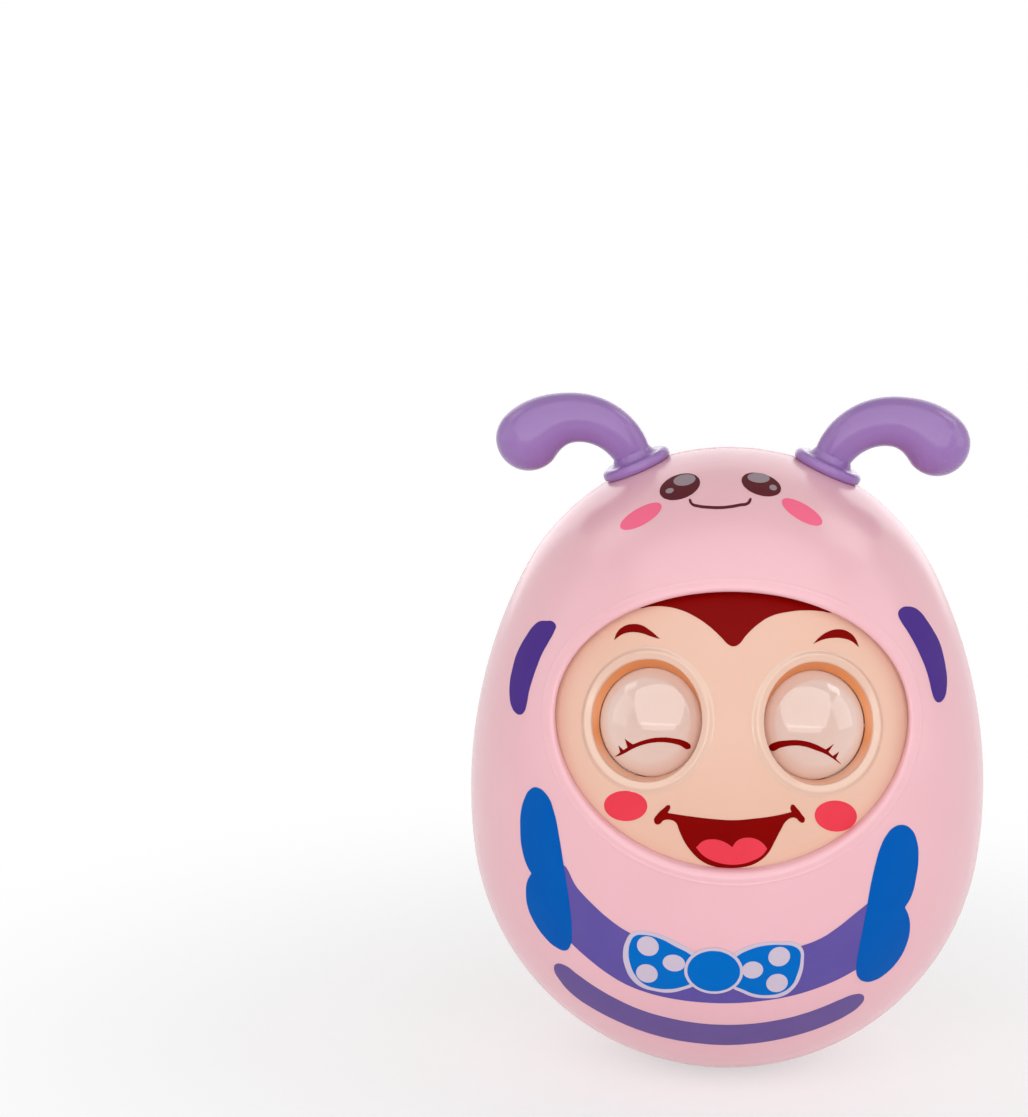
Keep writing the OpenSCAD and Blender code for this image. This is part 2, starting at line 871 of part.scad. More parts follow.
module bell_bracket() {
    color(steel)
    difference() {
        union() {
            translate([-bracket_w / 2, bracket_front, arm_z - bracket_h])
                cube([bracket_w, bracket_t, bracket_h]);
            translate([-arm_w / 2, bell_y, arm_under])
                cube([arm_w, bracket_back - bell_y, bracket_t]);
            translate([0, bell_y, arm_under])
                cylinder(d = arm_w, h = bracket_t);
        }
        translate([0, bell_y, arm_under - over])
            cylinder(r = bolt_r + run_fit, h = bracket_t + 2 * over);
        for (side = [-1, 1])
            bar_y(side * bracket_screw_w / 2, bracket_screw_z, bracket_front - over,
                bracket_back + over, bracket_screw_r + screw_fit);
    }
}

module bracket_screws() {
    color(steel)
    for (side = [-1, 1])
        translate([side * bracket_screw_w / 2, bracket_front, bracket_screw_z])
            rotate([90, 0, 0])
                screw(bracket_head_r, bracket_head_h, bracket_screw_r, bracket_screw_l);
}

// The bell's half outline, a distance inset below its outer face
module bell_half(inset) {
    intersection() {
        union() {
            translate([0, bell_mid])
                intersection() {
                    circle(r = bell_r - inset);
                    square([bell_r, bell_r]);
                }
            translate([0, bell_mouth - inset])
                square([bell_r - inset, bell_skirt + inset]);
        }
        square([reach, reach]);
    }
}

module bell() {
    color(brass)
    translate([0, bell_y, 0])
        difference() {
            rotate_extrude()
                difference() {
                    bell_half(0);
                    bell_half(bell_t);
                }
            translate([0, 0, bell_mid])
                cylinder(r = bolt_r + run_fit, h = reach);
        }
}

module bell_bolt() {
    color(steel)
    difference() {
        translate([0, bell_y, 0]) {
            translate([0, 0, arm_z])
                cylinder(r = hex_r, h = hex_h, $fn = 6);
            translate([0, 0, tongue_end])
                cylinder(r = bolt_r, h = arm_z - tongue_end);
        }
        both_sides()
            translate([tongue_t / 2, bell_y - bolt_d, tongue_end - over])
                cube([bolt_d, 2 * bolt_d, tongue_top - tongue_end + over]);
        bar_x(bell_y, pivot_z, -bolt_d, bolt_d, pin_r + run_fit);
    }
}

module bell_spacer() {
    color(steel)
    translate([0, bell_y, bell_top])
        difference() {
            cylinder(r = spacer_r, h = spacer_l);
            translate([0, 0, -over])
                cylinder(r = bolt_r + run_fit, h = spacer_l + 2 * over);
        }
}

module bell_nut() {
    color(steel)
    translate([0, bell_y, nut_top - hex_h])
        difference() {
            cylinder(r = hex_r, h = hex_h, $fn = 6);
            translate([0, 0, -over])
                cylinder(r = bolt_r + run_fit, h = hex_h + 2 * over);
        }
}

module clapper() {
    bridge_top = pivot_z - fork_drop;
    color(steel)
    difference() {
        union() {
            both_sides()
                translate([fork_in, bell_y - fork_w / 2, bridge_top - bridge_h])
                    cube([fork_t, fork_w, fork_drop + bridge_h + fork_rise]);
            translate([-fork_out, bell_y - fork_w / 2, bridge_top - bridge_h])
                cube([2 * fork_out, fork_w, bridge_h]);
            translate([0, bell_y, pivot_z - clapper_l])
                cylinder(r = rod_r, h = clapper_l - fork_drop);
            translate([0, bell_y, pivot_z - clapper_l])
                sphere(d = clapper_ball_d);
        }
        bar_x(bell_y, pivot_z, -reach, reach, pin_r + seat_fit);
    }
}

module clapper_pin() {
    color(steel)
    bar_x(bell_y, pivot_z, -fork_out, fork_out, pin_r);
}

front_shell();
rear_shell();
shell_screws();
face_plate();
face_screws();
eye_white_left();
eye_white_right();
eyelid_left();
eyelid_right();
eye_axle_left();
eye_axle_right();
eye_weight_left();
eye_weight_right();
axle_keeper();
keeper_screws();
antenna_left();
antenna_right();
base_weight();
weight_screws();
bell_bracket();
bracket_screws();
bell();
bell_bolt();
bell_spacer();
bell_nut();
clapper();
clapper_pin();
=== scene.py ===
# %% [markdown]
# # A roly-poly bee rattle
# The toy is a glossy pink egg that rights itself, with a doll's face set into an oval opening, two soft purple
# antennae and printed decoration. The CAD model is the fixed frame: every piece here is made in metres where the
# CAD has it. Sizes are written in millimetres, as a toolmaker would, and turned to metres by one factor.

# %% Load the frame
import json
import math
import bmesh
import bpy
from mathutils import Euler, Matrix, Vector


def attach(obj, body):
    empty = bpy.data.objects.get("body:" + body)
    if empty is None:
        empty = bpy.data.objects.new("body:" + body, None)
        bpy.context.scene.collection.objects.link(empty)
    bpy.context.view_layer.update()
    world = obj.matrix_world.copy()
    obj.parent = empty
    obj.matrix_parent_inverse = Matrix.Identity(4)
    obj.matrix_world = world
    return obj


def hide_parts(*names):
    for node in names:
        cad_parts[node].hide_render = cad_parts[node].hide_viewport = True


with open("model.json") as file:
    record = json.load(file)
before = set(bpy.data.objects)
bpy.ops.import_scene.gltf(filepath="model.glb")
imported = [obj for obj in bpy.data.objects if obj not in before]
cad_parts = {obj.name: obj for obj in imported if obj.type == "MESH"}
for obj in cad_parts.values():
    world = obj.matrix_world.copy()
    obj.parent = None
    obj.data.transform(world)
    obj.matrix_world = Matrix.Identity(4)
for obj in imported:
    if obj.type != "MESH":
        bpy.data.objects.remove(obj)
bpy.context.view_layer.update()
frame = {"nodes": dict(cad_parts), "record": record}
bpy.ops.object.select_all(action="DESELECT")
MM = 0.001

# %% [markdown]
# ## Camera
# The picture was taken from a little above, with a long lens about 0.6 m away. Such a lens keeps the egg's outline
# almost true, so the camera is placed by numbers that were fitted to that outline, not by eye.

# %% Camera
bpy.ops.object.camera_add()
camera = bpy.context.object
camera.name = "camera"
camera.data.sensor_fit = "HORIZONTAL"
camera.data.sensor_width = 36
camera.data.lens = 111.29
camera.data.clip_start = 0.01
CAMERA_AT = Vector((-14.53, -582.0, 204.45)) * MM
TILT, YAW, ROLL = math.radians(90 - 10.634), math.radians(2.528), math.radians(0.37)
aim = Euler((TILT, 0, YAW)).to_matrix() @ Matrix.Rotation(ROLL, 3, "Z")
camera.matrix_world = Matrix.LocRotScale(CAMERA_AT, aim.to_quaternion(), None)
bpy.context.scene.camera = camera
bpy.context.scene.view_settings.view_transform = "Standard"
print("camera lens in mm:", round(camera.data.lens, 1))

# %% [markdown]
# ## Helpers for finishes
# A colour is written as the sRGB hex value that a colour picker shows. Blender mixes light in linear values, so one
# function converts it. Another small function adds a shader node, fills in its values and links what is a socket.
# Every finish on the toy starts from the same blank and ends with the same three patterns on the shader: a tone, a
# roughness and a bump. What is even all over the surface is set on the shader's own sockets.

# %% Colours and nodes
def linear(hex_value):
    parts = [int(hex_value[i:i + 2], 16) / 255 for i in (1, 3, 5)]
    return tuple(p / 12.92 if p <= 0.04045 else ((p + 0.055) / 1.055) ** 2.4 for p in parts) + (1.0,)


def add(tree, kind, values=None, **settings):
    made = tree.nodes.new("ShaderNode" + kind)
    for key, value in settings.items():
        setattr(made, key, value)
    for key, value in (values or {}).items():
        if isinstance(value, bpy.types.NodeSocket):
            tree.links.new(value, made.inputs[key])
        else:
            made.inputs[key].default_value = value
    return made


def per_mm(size):
    return 1 / (size * MM)


def blank(name):
    """A new material with its nodes, its shader and the place on the piece that its patterns read."""
    material = bpy.data.materials.new(name)
    material.use_nodes = True
    tree = material.node_tree
    return material, tree, tree.nodes["Principled BSDF"], add(tree, "TexCoord").outputs["Object"]


def dress(tree, surface, tone, rough, bump, even):
    """Joins the three patterns to the shader and sets what is even all over."""
    tree.links.new(tone.outputs[2], surface.inputs["Base Color"])
    tree.links.new(rough.outputs[0], surface.inputs["Roughness"])
    tree.links.new(bump.outputs[0], surface.inputs["Normal"])
    for socket, value in even.items():
        surface.inputs[socket].default_value = value


def seen_directly(tree):
    """1 where the camera, a reflection or glass looks, and 0 where light is gathered for the toy."""
    ray = add(tree, "LightPath").outputs
    looks = add(tree, "Math", {0: ray["Is Camera Ray"], 1: ray["Is Glossy Ray"]}, operation="MAXIMUM")
    looks = add(tree, "Math", {0: looks.outputs[0], 1: ray["Is Transmission Ray"]}, operation="MAXIMUM")
    return looks.outputs[0]


print("linear mid grey:", [round(c, 3) for c in linear("#808080")[:3]])

# %% [markdown]
# ## Stage and light
# A catalogue picture stands on white paper under large soft boxes. The floor is a wide pale sheet that keeps the
# toy's shadow. The world is white to the camera and to reflections, and dimmer as a light, so the soft boxes model
# the form: a wide one in front for the main light, a weaker one at each side, and one behind for the back.

# %% Floor
bpy.ops.mesh.primitive_plane_add(size=6)
floor = bpy.context.object
floor.name = "floor"
paper, tree, surface, place = blank("matt_paper_sweep")
fibre = add(tree, "TexNoise", {"Vector": place, "Scale": per_mm(4), "Detail": 3})
tone = add(tree, "Mix", {0: fibre.outputs["Fac"], 6: linear("#fbfbfb"), 7: linear("#ffffff")}, data_type="RGBA")
tree.links.new(tone.outputs[2], surface.inputs["Base Color"])
surface.inputs["Roughness"].default_value = 0.9
surface.inputs["Specular IOR Level"].default_value = 0.1
# Near the toy the white lets more of the shadow show, and from 0.2 m on it is pure.
away = add(tree, "VectorMath", {0: place}, operation="LENGTH")
fade = add(tree, "MapRange", {"Value": away.outputs["Value"], "From Min": 0.05, "From Max": 0.2,
                              "To Min": 0.55, "To Max": 1.0}, interpolation_type="SMOOTHSTEP")
part = add(tree, "Math", {0: seen_directly(tree), 1: fade.outputs[0]}, operation="MULTIPLY")
white = add(tree, "Emission", {"Strength": 1.0})
blend = add(tree, "MixShader", {0: part.outputs[0], 1: surface.outputs[0], 2: white.outputs[0]})
tree.links.new(blend.outputs[0], tree.nodes["Material Output"].inputs["Surface"])
floor.data.materials.append(paper)
print("floor in m:", tuple(round(d, 1) for d in floor.dimensions))

# %% World
world = bpy.data.worlds.new("white_studio")
bpy.context.scene.world = world
world.use_nodes = True
tree = world.node_tree
WORLD_LIGHT = 0.4
level = add(tree, "MapRange", {"Value": seen_directly(tree), "To Min": WORLD_LIGHT, "To Max": 1.0})
sky = tree.nodes["Background"].inputs
sky["Color"].default_value = (1, 1, 1, 1)
tree.links.new(level.outputs[0], sky["Strength"])
print("world as a light:", WORLD_LIGHT)


# %% Soft boxes
def soft_box(name, spot, target, size, watts):
    bpy.ops.object.light_add(type="AREA", location=spot)
    lamp = bpy.context.object
    lamp.name = lamp.data.name = name
    lamp.data.shape = "RECTANGLE"
    lamp.data.size, lamp.data.size_y = size
    lamp.data.energy = watts
    lamp.rotation_euler = (Vector(target) - Vector(spot)).to_track_quat("-Z", "Y").to_euler()


soft_box("front_box", (-0.02, -0.85, 0.4), (0, 0, 0.06), (1.2, 0.8), 4.8)
soft_box("left_box", (-0.8, -0.1, 0.35), (0, 0, 0.06), (0.6, 0.7), 0.95)
soft_box("right_box", (0.8, -0.1, 0.35), (0, 0, 0.06), (0.6, 0.7), 1.4)
soft_box("back_box", (0, 0.85, 0.4), (0, 0, 0.05), (1.2, 0.8), 2.4)

# %% [markdown]
# A photographer adds white cards to put clean panels into polished plastic without changing the exposure. A large one
# hangs in front of and above the toy for the eyelids, and two small ones hang high behind it at the sides, for the
# small lights on the antennae. Only reflections see them.

# %% Reflector cards
def reflector(name, spot, size, strength):
    bpy.ops.mesh.primitive_plane_add(size=1, location=spot)
    card = bpy.context.object
    card.name = name
    card.scale = size + (1,)
    card.rotation_euler = (Vector((0, 0, 0.07)) - Vector(spot)).to_track_quat("Z", "Y").to_euler()
    lit = bpy.data.materials.new("lit_white_" + name)
    lit.use_nodes = True
    lit.node_tree.nodes.remove(lit.node_tree.nodes["Principled BSDF"])
    shine = add(lit.node_tree, "Emission", {"Strength": strength})
    lit.node_tree.links.new(shine.outputs[0], lit.node_tree.nodes["Material Output"].inputs["Surface"])
    card.data.materials.append(lit)
    card.visible_camera = card.visible_diffuse = card.visible_transmission = card.visible_shadow = False
    print(name, "in m:", tuple(round(d, 2) for d in card.dimensions))


reflector("front_card", (0, -0.5, 0.62), (1.5, 1.3), 2.6)
reflector("left_strip", (-0.6, 0.3, 0.75), (0.3, 0.3), 2.2)
reflector("right_strip", (0.6, 0.3, 0.75), (0.3, 0.3), 3.0)

# %% [markdown]
# ## Moulded plastics
# Both shells, the face and the eyes are injection-moulded ABS. Polished moulds leave a smooth surface with a faint
# waviness, which breaks the edge of a reflection a little. The colour is nearly even, with a slight cloudiness where
# the pigment flowed. So each plastic has three soft patterns: cloudiness in centimetres, and gloss and waviness in
# millimetres. One function makes them all, since only the colour and the polish differ.

# %% ABS
def moulded(name, shade, light, gloss, dull, wave=0.004, coat=0.0, glow=0.0, deep=2.5, specular=0.5, flat=0.0):
    """ABS of two close colours; wave and deep, the way light goes in, are in millimetres."""
    material, tree, surface, place = blank(name)
    flow = add(tree, "TexNoise", {"Vector": place, "Scale": per_mm(22), "Detail": 2, "Roughness": 0.4})
    tone = add(tree, "Mix", {0: flow.outputs["Fac"], 6: linear(shade), 7: linear(light)}, data_type="RGBA")
    polish = add(tree, "TexNoise", {"Vector": place, "Scale": per_mm(5), "Detail": 4})
    rough = add(tree, "MapRange", {"Value": polish.outputs["Fac"], "To Min": gloss, "To Max": dull})
    swell = add(tree, "TexNoise", {"Vector": place, "Scale": per_mm(3.5), "Detail": 2})
    bump = add(tree, "Bump", {"Height": swell.outputs["Fac"], "Strength": 1, "Distance": wave * MM})
    dress(tree, surface, tone, rough, bump, {
        "IOR": 1.52, "Specular IOR Level": specular, "Diffuse Roughness": flat,
        "Coat Weight": coat, "Coat Roughness": 0.04, "Coat IOR": 1.6,
        "Subsurface Weight": glow, "Subsurface Radius": (1.0, 0.75, 0.6), "Subsurface Scale": deep * MM})
    return material


# Pink ABS from a polished mould: an even candy pink with a clear, slightly soft gloss.
pink_abs = moulded("moulded_pink_abs_gloss", "#efb7c0", "#f3bfc7", 0.18, 0.26, glow=0.15, specular=0.36)
# Peach ABS from a satin mould: a skin tone with a broad, quiet sheen.
peach_abs = moulded("moulded_peach_abs_satin", "#eac2ac", "#eecab7", 0.3, 0.4, glow=0.1, deep=1.5, specular=0.2,
                    flat=0.8)
# The same peach, painted deep orange to stand for the light that bounces round the socket, where it only gets in
# through the eye gaps. Low down, where the socket faces the light, the colour is painted as pale as the face.
socket_abs_painted_bounce = moulded("moulded_peach_abs_socket_painted_bounce_light", "#de884f", "#e4935c", 0.35, 0.45)
tree = socket_abs_painted_bounce.node_tree
surface = tree.nodes["Principled BSDF"]
painted_bounce_orange = surface.inputs["Base Color"].links[0].from_socket
height = add(tree, "SeparateXYZ", {0: add(tree, "TexCoord").outputs["Object"]}).outputs["Z"]
# Painted light by height: pale below, where the socket faces the lamps, and painted bounced orange above.
PAINTED_LIT_Z, PAINTED_BOUNCE_Z = 64.5, 71
painted_bounce_share = add(tree, "MapRange", {"Value": height, "From Min": PAINTED_LIT_Z * MM, "From Max": PAINTED_BOUNCE_Z * MM},
            interpolation_type="SMOOTHSTEP")
tone = add(tree, "Mix", {0: painted_bounce_share.outputs[0], 6: linear("#f2c1a4"), 7: painted_bounce_orange}, data_type="RGBA")
tree.links.new(tone.outputs[2], surface.inputs["Base Color"])
# The eye rings, where the mould was polished bright: their beads carry a thin line of light.
ring_abs = moulded("moulded_peach_abs_bright_ring", "#e5bca6", "#e9c4b0", 0.1, 0.18, coat=0.35, specular=0.4)
# Polished eyelids: paler than the face, with the sharpest gloss on the toy. Cloudy plastic throws light back evenly,
# so the lids don't darken towards their rims, and full diffuse roughness gives that.
lid_abs = moulded("moulded_lid_abs_polished", "#e3c4b7", "#e7cbbf", 0.07, 0.12, wave=0.002, coat=1.0, specular=0.2,
                  flat=1.0)
# Polished white ABS of the eyeballs: a warm, wet-looking white.
white_abs = moulded("moulded_white_abs_polished", "#f2efe8", "#f8f6f0", 0.07, 0.12, wave=0.002, coat=0.6, glow=0.3)
print("plastics:", [m.name for m in bpy.data.materials if "abs" in m.name])

# %% [markdown]
# ## The egg's outline
# Every shell, print and ring has to lie on the egg. Its outline is four arcs that run into each other: a round base,
# two long arcs that meet at the widest ring, and a smaller round crown. One function gives the egg's radius at a
# height, for the outer face or for a face sunk some millimetres inside it, and the others use it.

# %% Egg radius
BASE_R, BASE_Z, EQUATOR_R, EQUATOR_Z = 47.7, 47.02436, 48, 52.02436
LOW_R, HIGH_R, CROWN_R, CROWN_Z = 89.5167, 91.0881, 42.9, 73.6


def egg_r(z, inset=0.0):
    base, crown = BASE_R - inset, CROWN_R - inset
    if z < BASE_Z - 0.11957 * base:
        return math.sqrt(max(base ** 2 - (z - BASE_Z) ** 2, 0))
    if z < EQUATOR_Z:
        return EQUATOR_R - LOW_R + math.sqrt((LOW_R - inset) ** 2 - (z - EQUATOR_Z) ** 2)
    if z < CROWN_Z + 0.44774 * crown:
        return EQUATOR_R - HIGH_R + math.sqrt((HIGH_R - inset) ** 2 - (z - EQUATOR_Z) ** 2)
    return math.sqrt(max(crown ** 2 - (z - CROWN_Z) ** 2, 0))


def front_y(x, z, inset=0.0):
    return -math.sqrt(max(egg_r(z, inset) ** 2 - x * x, 0))


def on_egg(point, inset=0.0):
    """The place where a ray from the egg's middle through a point leaves the egg."""
    middle = Vector((0, 0, 58))
    ray = Vector(point) - middle
    near, far = 0.0, 200 / ray.length
    for _ in range(44):
        half = (near + far) / 2
        p = middle + half * ray
        inside = p.z > 0 and math.hypot(p.x, p.y) < egg_r(p.z, inset)
        near, far = (half, far) if inside else (near, half)
    return middle + near * ray


print("egg radius at the widest ring:", round(egg_r(EQUATOR_Z), 2))

# %% [markdown]
# ## Lofting by extrusion
# A shell with a rolled edge could be cut by Booleans, but then the glossy surface would get creases round the cut.
# Extruding one edge loop again and again, each time to its next place, gives clean quads that run round the opening.
# The helper starts from a circle, extrudes it through all rings, and either closes the skin on itself or its ends.

# %% Loft
def loft(name, rings, joined=False, tip=(False, False)):
    bpy.ops.object.select_all(action="DESELECT")
    bpy.ops.mesh.primitive_circle_add(vertices=len(rings[0]))
    piece = bpy.context.object
    piece.name = piece.data.name = name
    for vertex, point in zip(piece.data.vertices, rings[0]):
        vertex.co = Vector(point) * MM
    bpy.ops.object.mode_set(mode="EDIT")
    mesh = bmesh.from_edit_mesh(piece.data)
    loop = list(mesh.verts)
    if tip[0]:
        bpy.ops.mesh.edge_face_add()
        bpy.ops.mesh.select_mode(type="EDGE")
        bpy.ops.mesh.poke()
        bpy.ops.mesh.select_all(action="DESELECT")
        mesh = bmesh.from_edit_mesh(piece.data)
        for edge in mesh.edges:
            edge.select_set(edge.is_boundary)
        mesh.verts.ensure_lookup_table()
        loop = list(mesh.verts)[:len(rings[0])]
    for ring in rings[1:] + (rings[:1] if joined else []):
        before = [v.co.to_tuple() for v in loop]
        bpy.ops.mesh.extrude_region_move()
        mesh = bmesh.from_edit_mesh(piece.data)
        moved = {v.co.to_tuple(): v for v in mesh.verts if v.select}
        loop = [moved[co] for co in before]
        for vertex, point in zip(loop, ring):
            vertex.co = Vector(point) * MM
    if tip[1]:
        bpy.ops.mesh.edge_face_add()
        bpy.ops.mesh.poke()
    bmesh.update_edit_mesh(piece.data)
    bpy.ops.mesh.select_mode(type="VERT")
    bpy.ops.mesh.select_all(action="SELECT")
    bpy.ops.mesh.remove_doubles(threshold=1e-7)
    bpy.ops.mesh.normals_make_consistent(inside=False)
    bpy.ops.object.mode_set(mode="OBJECT")
    return piece


def pick(piece):
    """Makes a piece the active one and the only one that is selected."""
    bpy.ops.object.select_all(action="DESELECT")
    bpy.context.view_layer.objects.active = piece
    piece.select_set(True)


def settle(piece, material, body, slot, *nodes, angle=35):
    """Shades a finished piece, gives it its finish and hangs it on its CAD body."""
    pick(piece)
    bpy.ops.object.shade_smooth_by_angle(angle=math.radians(angle))
    piece.data.materials.clear()
    piece.data.materials.append(material)
    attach(piece, body)
    if nodes:
        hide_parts(*nodes)
    print(piece.name, "faces:", len(piece.data.polygons), "rides on", body)


def boolean(piece, tool, operation="DIFFERENCE"):
    """Cuts a tool out of a piece or joins it on, and throws the tool away."""
    pick(piece)
    bpy.ops.object.modifier_add(type="BOOLEAN")
    change = piece.modifiers[-1]
    change.operation, change.object, change.solver = operation, tool, "EXACT"
    bpy.ops.object.modifier_apply(modifier=change.name)
    bpy.data.objects.remove(tool)


# %% [markdown]
# ## Front shell
# The front half of the egg has the oval opening for the face. Its edge isn't sharp: the plastic rolls inwards in a
# quarter round about 2 mm deep and comes down close to the face. A hair-fine ridge runs round it, 2.4 mm from the edge,
# and catches a thin line of light. The rings start at the opening's inside, climb over the roll and the ridge, spread
# over the egg to the seam and come back inside.

# %% Front shell rings
SIDES = 192
OVAL_X, OVAL_TOP, OVAL_LOW, FACE_Z = 31.3, 23.2, 23.8, 73.0
WALL, RIM, ROLL_WIDE, ROLL_DEEP, RIDGE, RIDGE_AT = 2.2, 2.44, 1.5, 2.0, 0.08, 2.4
RIDGE_FORM = [(-0.6, 0), (-0.3, 0), (-0.2, 0.2), (-0.1, 0.75), (0, 1), (0.1, 0.75), (0.2, 0.2), (0.3, 0)]
SEAM_EDGE = [(0.0, 0.35), (0.08, 0.12), (0.3, 0.02), (WALL, 0.02)]
turns = [2 * math.pi * k / SIDES for k in range(SIDES)]


def oval(margin):
    """The opening's outline, some millimetres wider; its upper half is a little flatter than the lower one."""
    ring = []
    for t in turns:
        half = OVAL_TOP if math.sin(t) > 0 else OVAL_LOW
        ring.append(((OVAL_X + margin) * math.cos(t), FACE_Z + (half + margin) * math.sin(t)))
    return ring


def seam_point(x, z):
    """Where the direction from the face's middle to (x, z) reaches the egg's outline."""
    dx, dz = x, z - FACE_Z
    near, far = 0.0, 100 / math.hypot(dx, dz)
    for _ in range(44):
        half = (near + far) / 2
        inside = FACE_Z + half * dz > 0 and abs(half * dx) < egg_r(FACE_Z + half * dz)
        near, far = (half, far) if inside else (near, half)
    return Vector((near * dx, 0, FACE_Z + near * dz))


seam = [seam_point(x, z) for x, z in oval(2)]


def spread(start, inset, steps):
    """Rings over the egg from a ring of points to the seam."""
    return [[on_egg(Vector(a).lerp(b, s), inset) for a, b in zip(start, seam)] for s in steps]


def seam_rings(side):
    """A shell's rounded edge at the seam: -1 for the front shell, 1 for the rear one."""
    rings = []
    for inset, gap in SEAM_EDGE:
        moved = [on_egg((p.x, 0, p.z), inset) for p in seam]
        rings.append([(q.x, side * gap, q.z) for q in moved])
    return rings


print("points in a ring:", SIDES)

# %% Front shell
inner_edge = [(x, front_y(x, z, RIM), z) for x, z in oval(0)]
rings = [inner_edge]
for i in range(9):
    a = math.radians(90 * i / 8)
    m, deep = ROLL_WIDE * (1 - math.cos(a)), ROLL_DEEP * (1 - math.sin(a))
    rings.append([(x, front_y(x, z) + deep, z) for x, z in oval(m)])
for m, rise in RIDGE_FORM:
    rings.append([(x, front_y(x, z) - rise * RIDGE, z) for x, z in oval(RIDGE_AT + m)])
rings += spread(rings[-1], 0, [(i / 46) ** 1.1 for i in range(1, 46)])
rings += seam_rings(-1)
rings += spread(inner_edge, WALL, [1 - i / 18 for i in range(1, 18)])
front_shell = loft("front_shell_moulding", rings, joined=True)
print("rings in the front shell:", len(rings))

# %% [markdown]
# Inside, four posts take the screws that come through the rear shell. They are round rods whose far ends follow the
# wall, and each antenna's neck needs a round hole that is half in this shell and half in the other. Both are quick
# Boolean steps, because nothing glossy is near them.

# %% Front posts and neck holes
POSTS = [(-34, 86), (34, 86), (-30, 27), (30, 27)]
POST_R, NECK_HOLE_R, NECK_AT = 4.4, 3.65, 41
LEAN = math.radians(24)


def rod(radius, length, middle, turn, sides=48):
    bpy.ops.object.select_all(action="DESELECT")
    bpy.ops.mesh.primitive_cylinder_add(vertices=sides, radius=radius * MM, depth=length * MM,
                                        location=Vector(middle) * MM, rotation=turn)
    return bpy.context.object


def neck_hole(side):
    middle = (side * NECK_AT * math.sin(LEAN), 0, CROWN_Z + NECK_AT * math.cos(LEAN))
    return rod(NECK_HOLE_R, 8, middle, (0, side * LEAN, 0))


def post(x, z, side):
    """A post whose far end follows the inside of the wall, so that it can't show outside."""
    foot = [(x + POST_R * math.cos(t), z + POST_R * math.sin(t)) for t in turns[::4]]
    near = [(u, side * 0.05, w) for u, w in foot]
    far = [(u, -side * front_y(u, w, WALL * 0.6), w) for u, w in foot]
    return loft("post", [near, far], tip=(True, True))


for x, z in POSTS:
    boolean(front_shell, post(x, z, -1), "UNION")
for side in (-1, 1):
    boolean(front_shell, neck_hole(side))
settle(front_shell, pink_abs, "body", "pink_abs", "front_shell")

# %% [markdown]
# ## Rear shell
# The back of the toy is plain, with four round wells for the screws. The rings grow from the middle of the back to
# the seam and return along the inner wall. Posts are joined on before the wells are cut, so each well is a closed
# tube and nobody can look into the egg.

# %% Rear shell
WELL_R, BORE_R, WELL_FLOOR = 2.9, 1.3, 8
back = Vector((0, EQUATOR_R, EQUATOR_Z))


def rear_ring(s, inset):
    return [on_egg(back.lerp(p, s), inset) for p in seam]


rings = [rear_ring(i / 44, 0) for i in range(1, 44)]
rings += seam_rings(1)
rings += [rear_ring(1 - i / 18, WALL) for i in range(1, 18)]
rear_shell = loft("rear_shell_moulding", rings, tip=(True, True))


def well(x, z):
    """A screw's well and its bore as one cutter, turned half a side so that no corner meets an edge of the post."""
    steps = ((WELL_R, 68), (WELL_R, WELL_FLOOR), (BORE_R, WELL_FLOOR), (BORE_R, -5))
    return loft("well", [[(x + r * math.cos(t), y, z + r * math.sin(t)) for t in turns[2::4]] for r, y in steps],
                tip=(True, True))


for x, z in POSTS:
    boolean(rear_shell, post(x, z, 1), "UNION")
    boolean(rear_shell, well(x, z))
for side in (-1, 1):
    boolean(rear_shell, neck_hole(side))
settle(rear_shell, pink_abs, "body", "pink_abs", "rear_shell")

# %% [markdown]
# ## Face plate
# The doll's face is a separate moulding that sits behind the opening, 2.5 mm under the egg's surface, and follows the
# same curve. A lofted disc gives the dome. The two round holes are cut with rods that point the way each eye looks,
# a little outwards and up, and the raised rings that frame the eyes will cover the cut edges.

# %% Face plate
PLATE_IN, PLATE_T, EYE_HOLE_R = 2.5, 2.0, 11.3
EYE_AT = Vector((15.2, -39.909, 74.1))
LOOK = Vector((0.3447, -0.9050, 0.2492)).normalized()
ACROSS = LOOK.cross(Vector((0, 0, 1))).normalized()
RISE = ACROSS.cross(LOOK).normalized()


def plate_ring(part, inset):
    return [(x * part, front_y(x * part, FACE_Z + (z - FACE_Z) * part, inset), FACE_Z + (z - FACE_Z) * part)
            for x, z in oval(4)]


rings = [plate_ring(i / 40, PLATE_IN) for i in range(1, 41)]
rings += [plate_ring(i / 20, PLATE_IN + PLATE_T) for i in range(20, 0, -1)]
face_plate = loft("face_plate_moulding", rings, tip=(True, True))
for side in (-1, 1):
    look = Vector((side * LOOK.x, LOOK.y, LOOK.z))
    turn = look.to_track_quat("Z", "Y").to_euler()
    boolean(face_plate, rod(EYE_HOLE_R, 30, (side * EYE_AT.x, EYE_AT.y, EYE_AT.z), turn, 96))
print("plate faces:", len(face_plate.data.polygons))

# %% [markdown]
# ### Eye rings and sockets
# Each ring has a thin bead on its outer rim, a flat band and a rounded inner edge. It follows the curved face, so
# every ring of points is found by sliding along the eye's direction until it meets the egg at the wanted depth. The
# side towards the nose is drawn in a little, which makes the eye a slim oval.
# Behind it, the socket's wall drops in and then wraps closely round the eyeball. The right side is made first, and
# the left one is a mirrored copy.

# %% Eye ring
NOSE_SIDE = 0.8


def eye_point(rho, turn, inset):
    """A point round the eye, where a line along its look meets the egg at a depth."""
    rho -= NOSE_SIDE * max(0, math.cos(turn)) ** 2
    start = EYE_AT + rho * (math.cos(turn) * ACROSS + math.sin(turn) * RISE) + 8 * LOOK
    near, far = 0.0, 20.0
    for _ in range(40):
        half = (near + far) / 2
        p = start - half * LOOK
        outside = math.hypot(p.x, p.y) > egg_r(p.z, inset)
        near, far = (half, far) if outside else (near, half)
    return start - near * LOOK


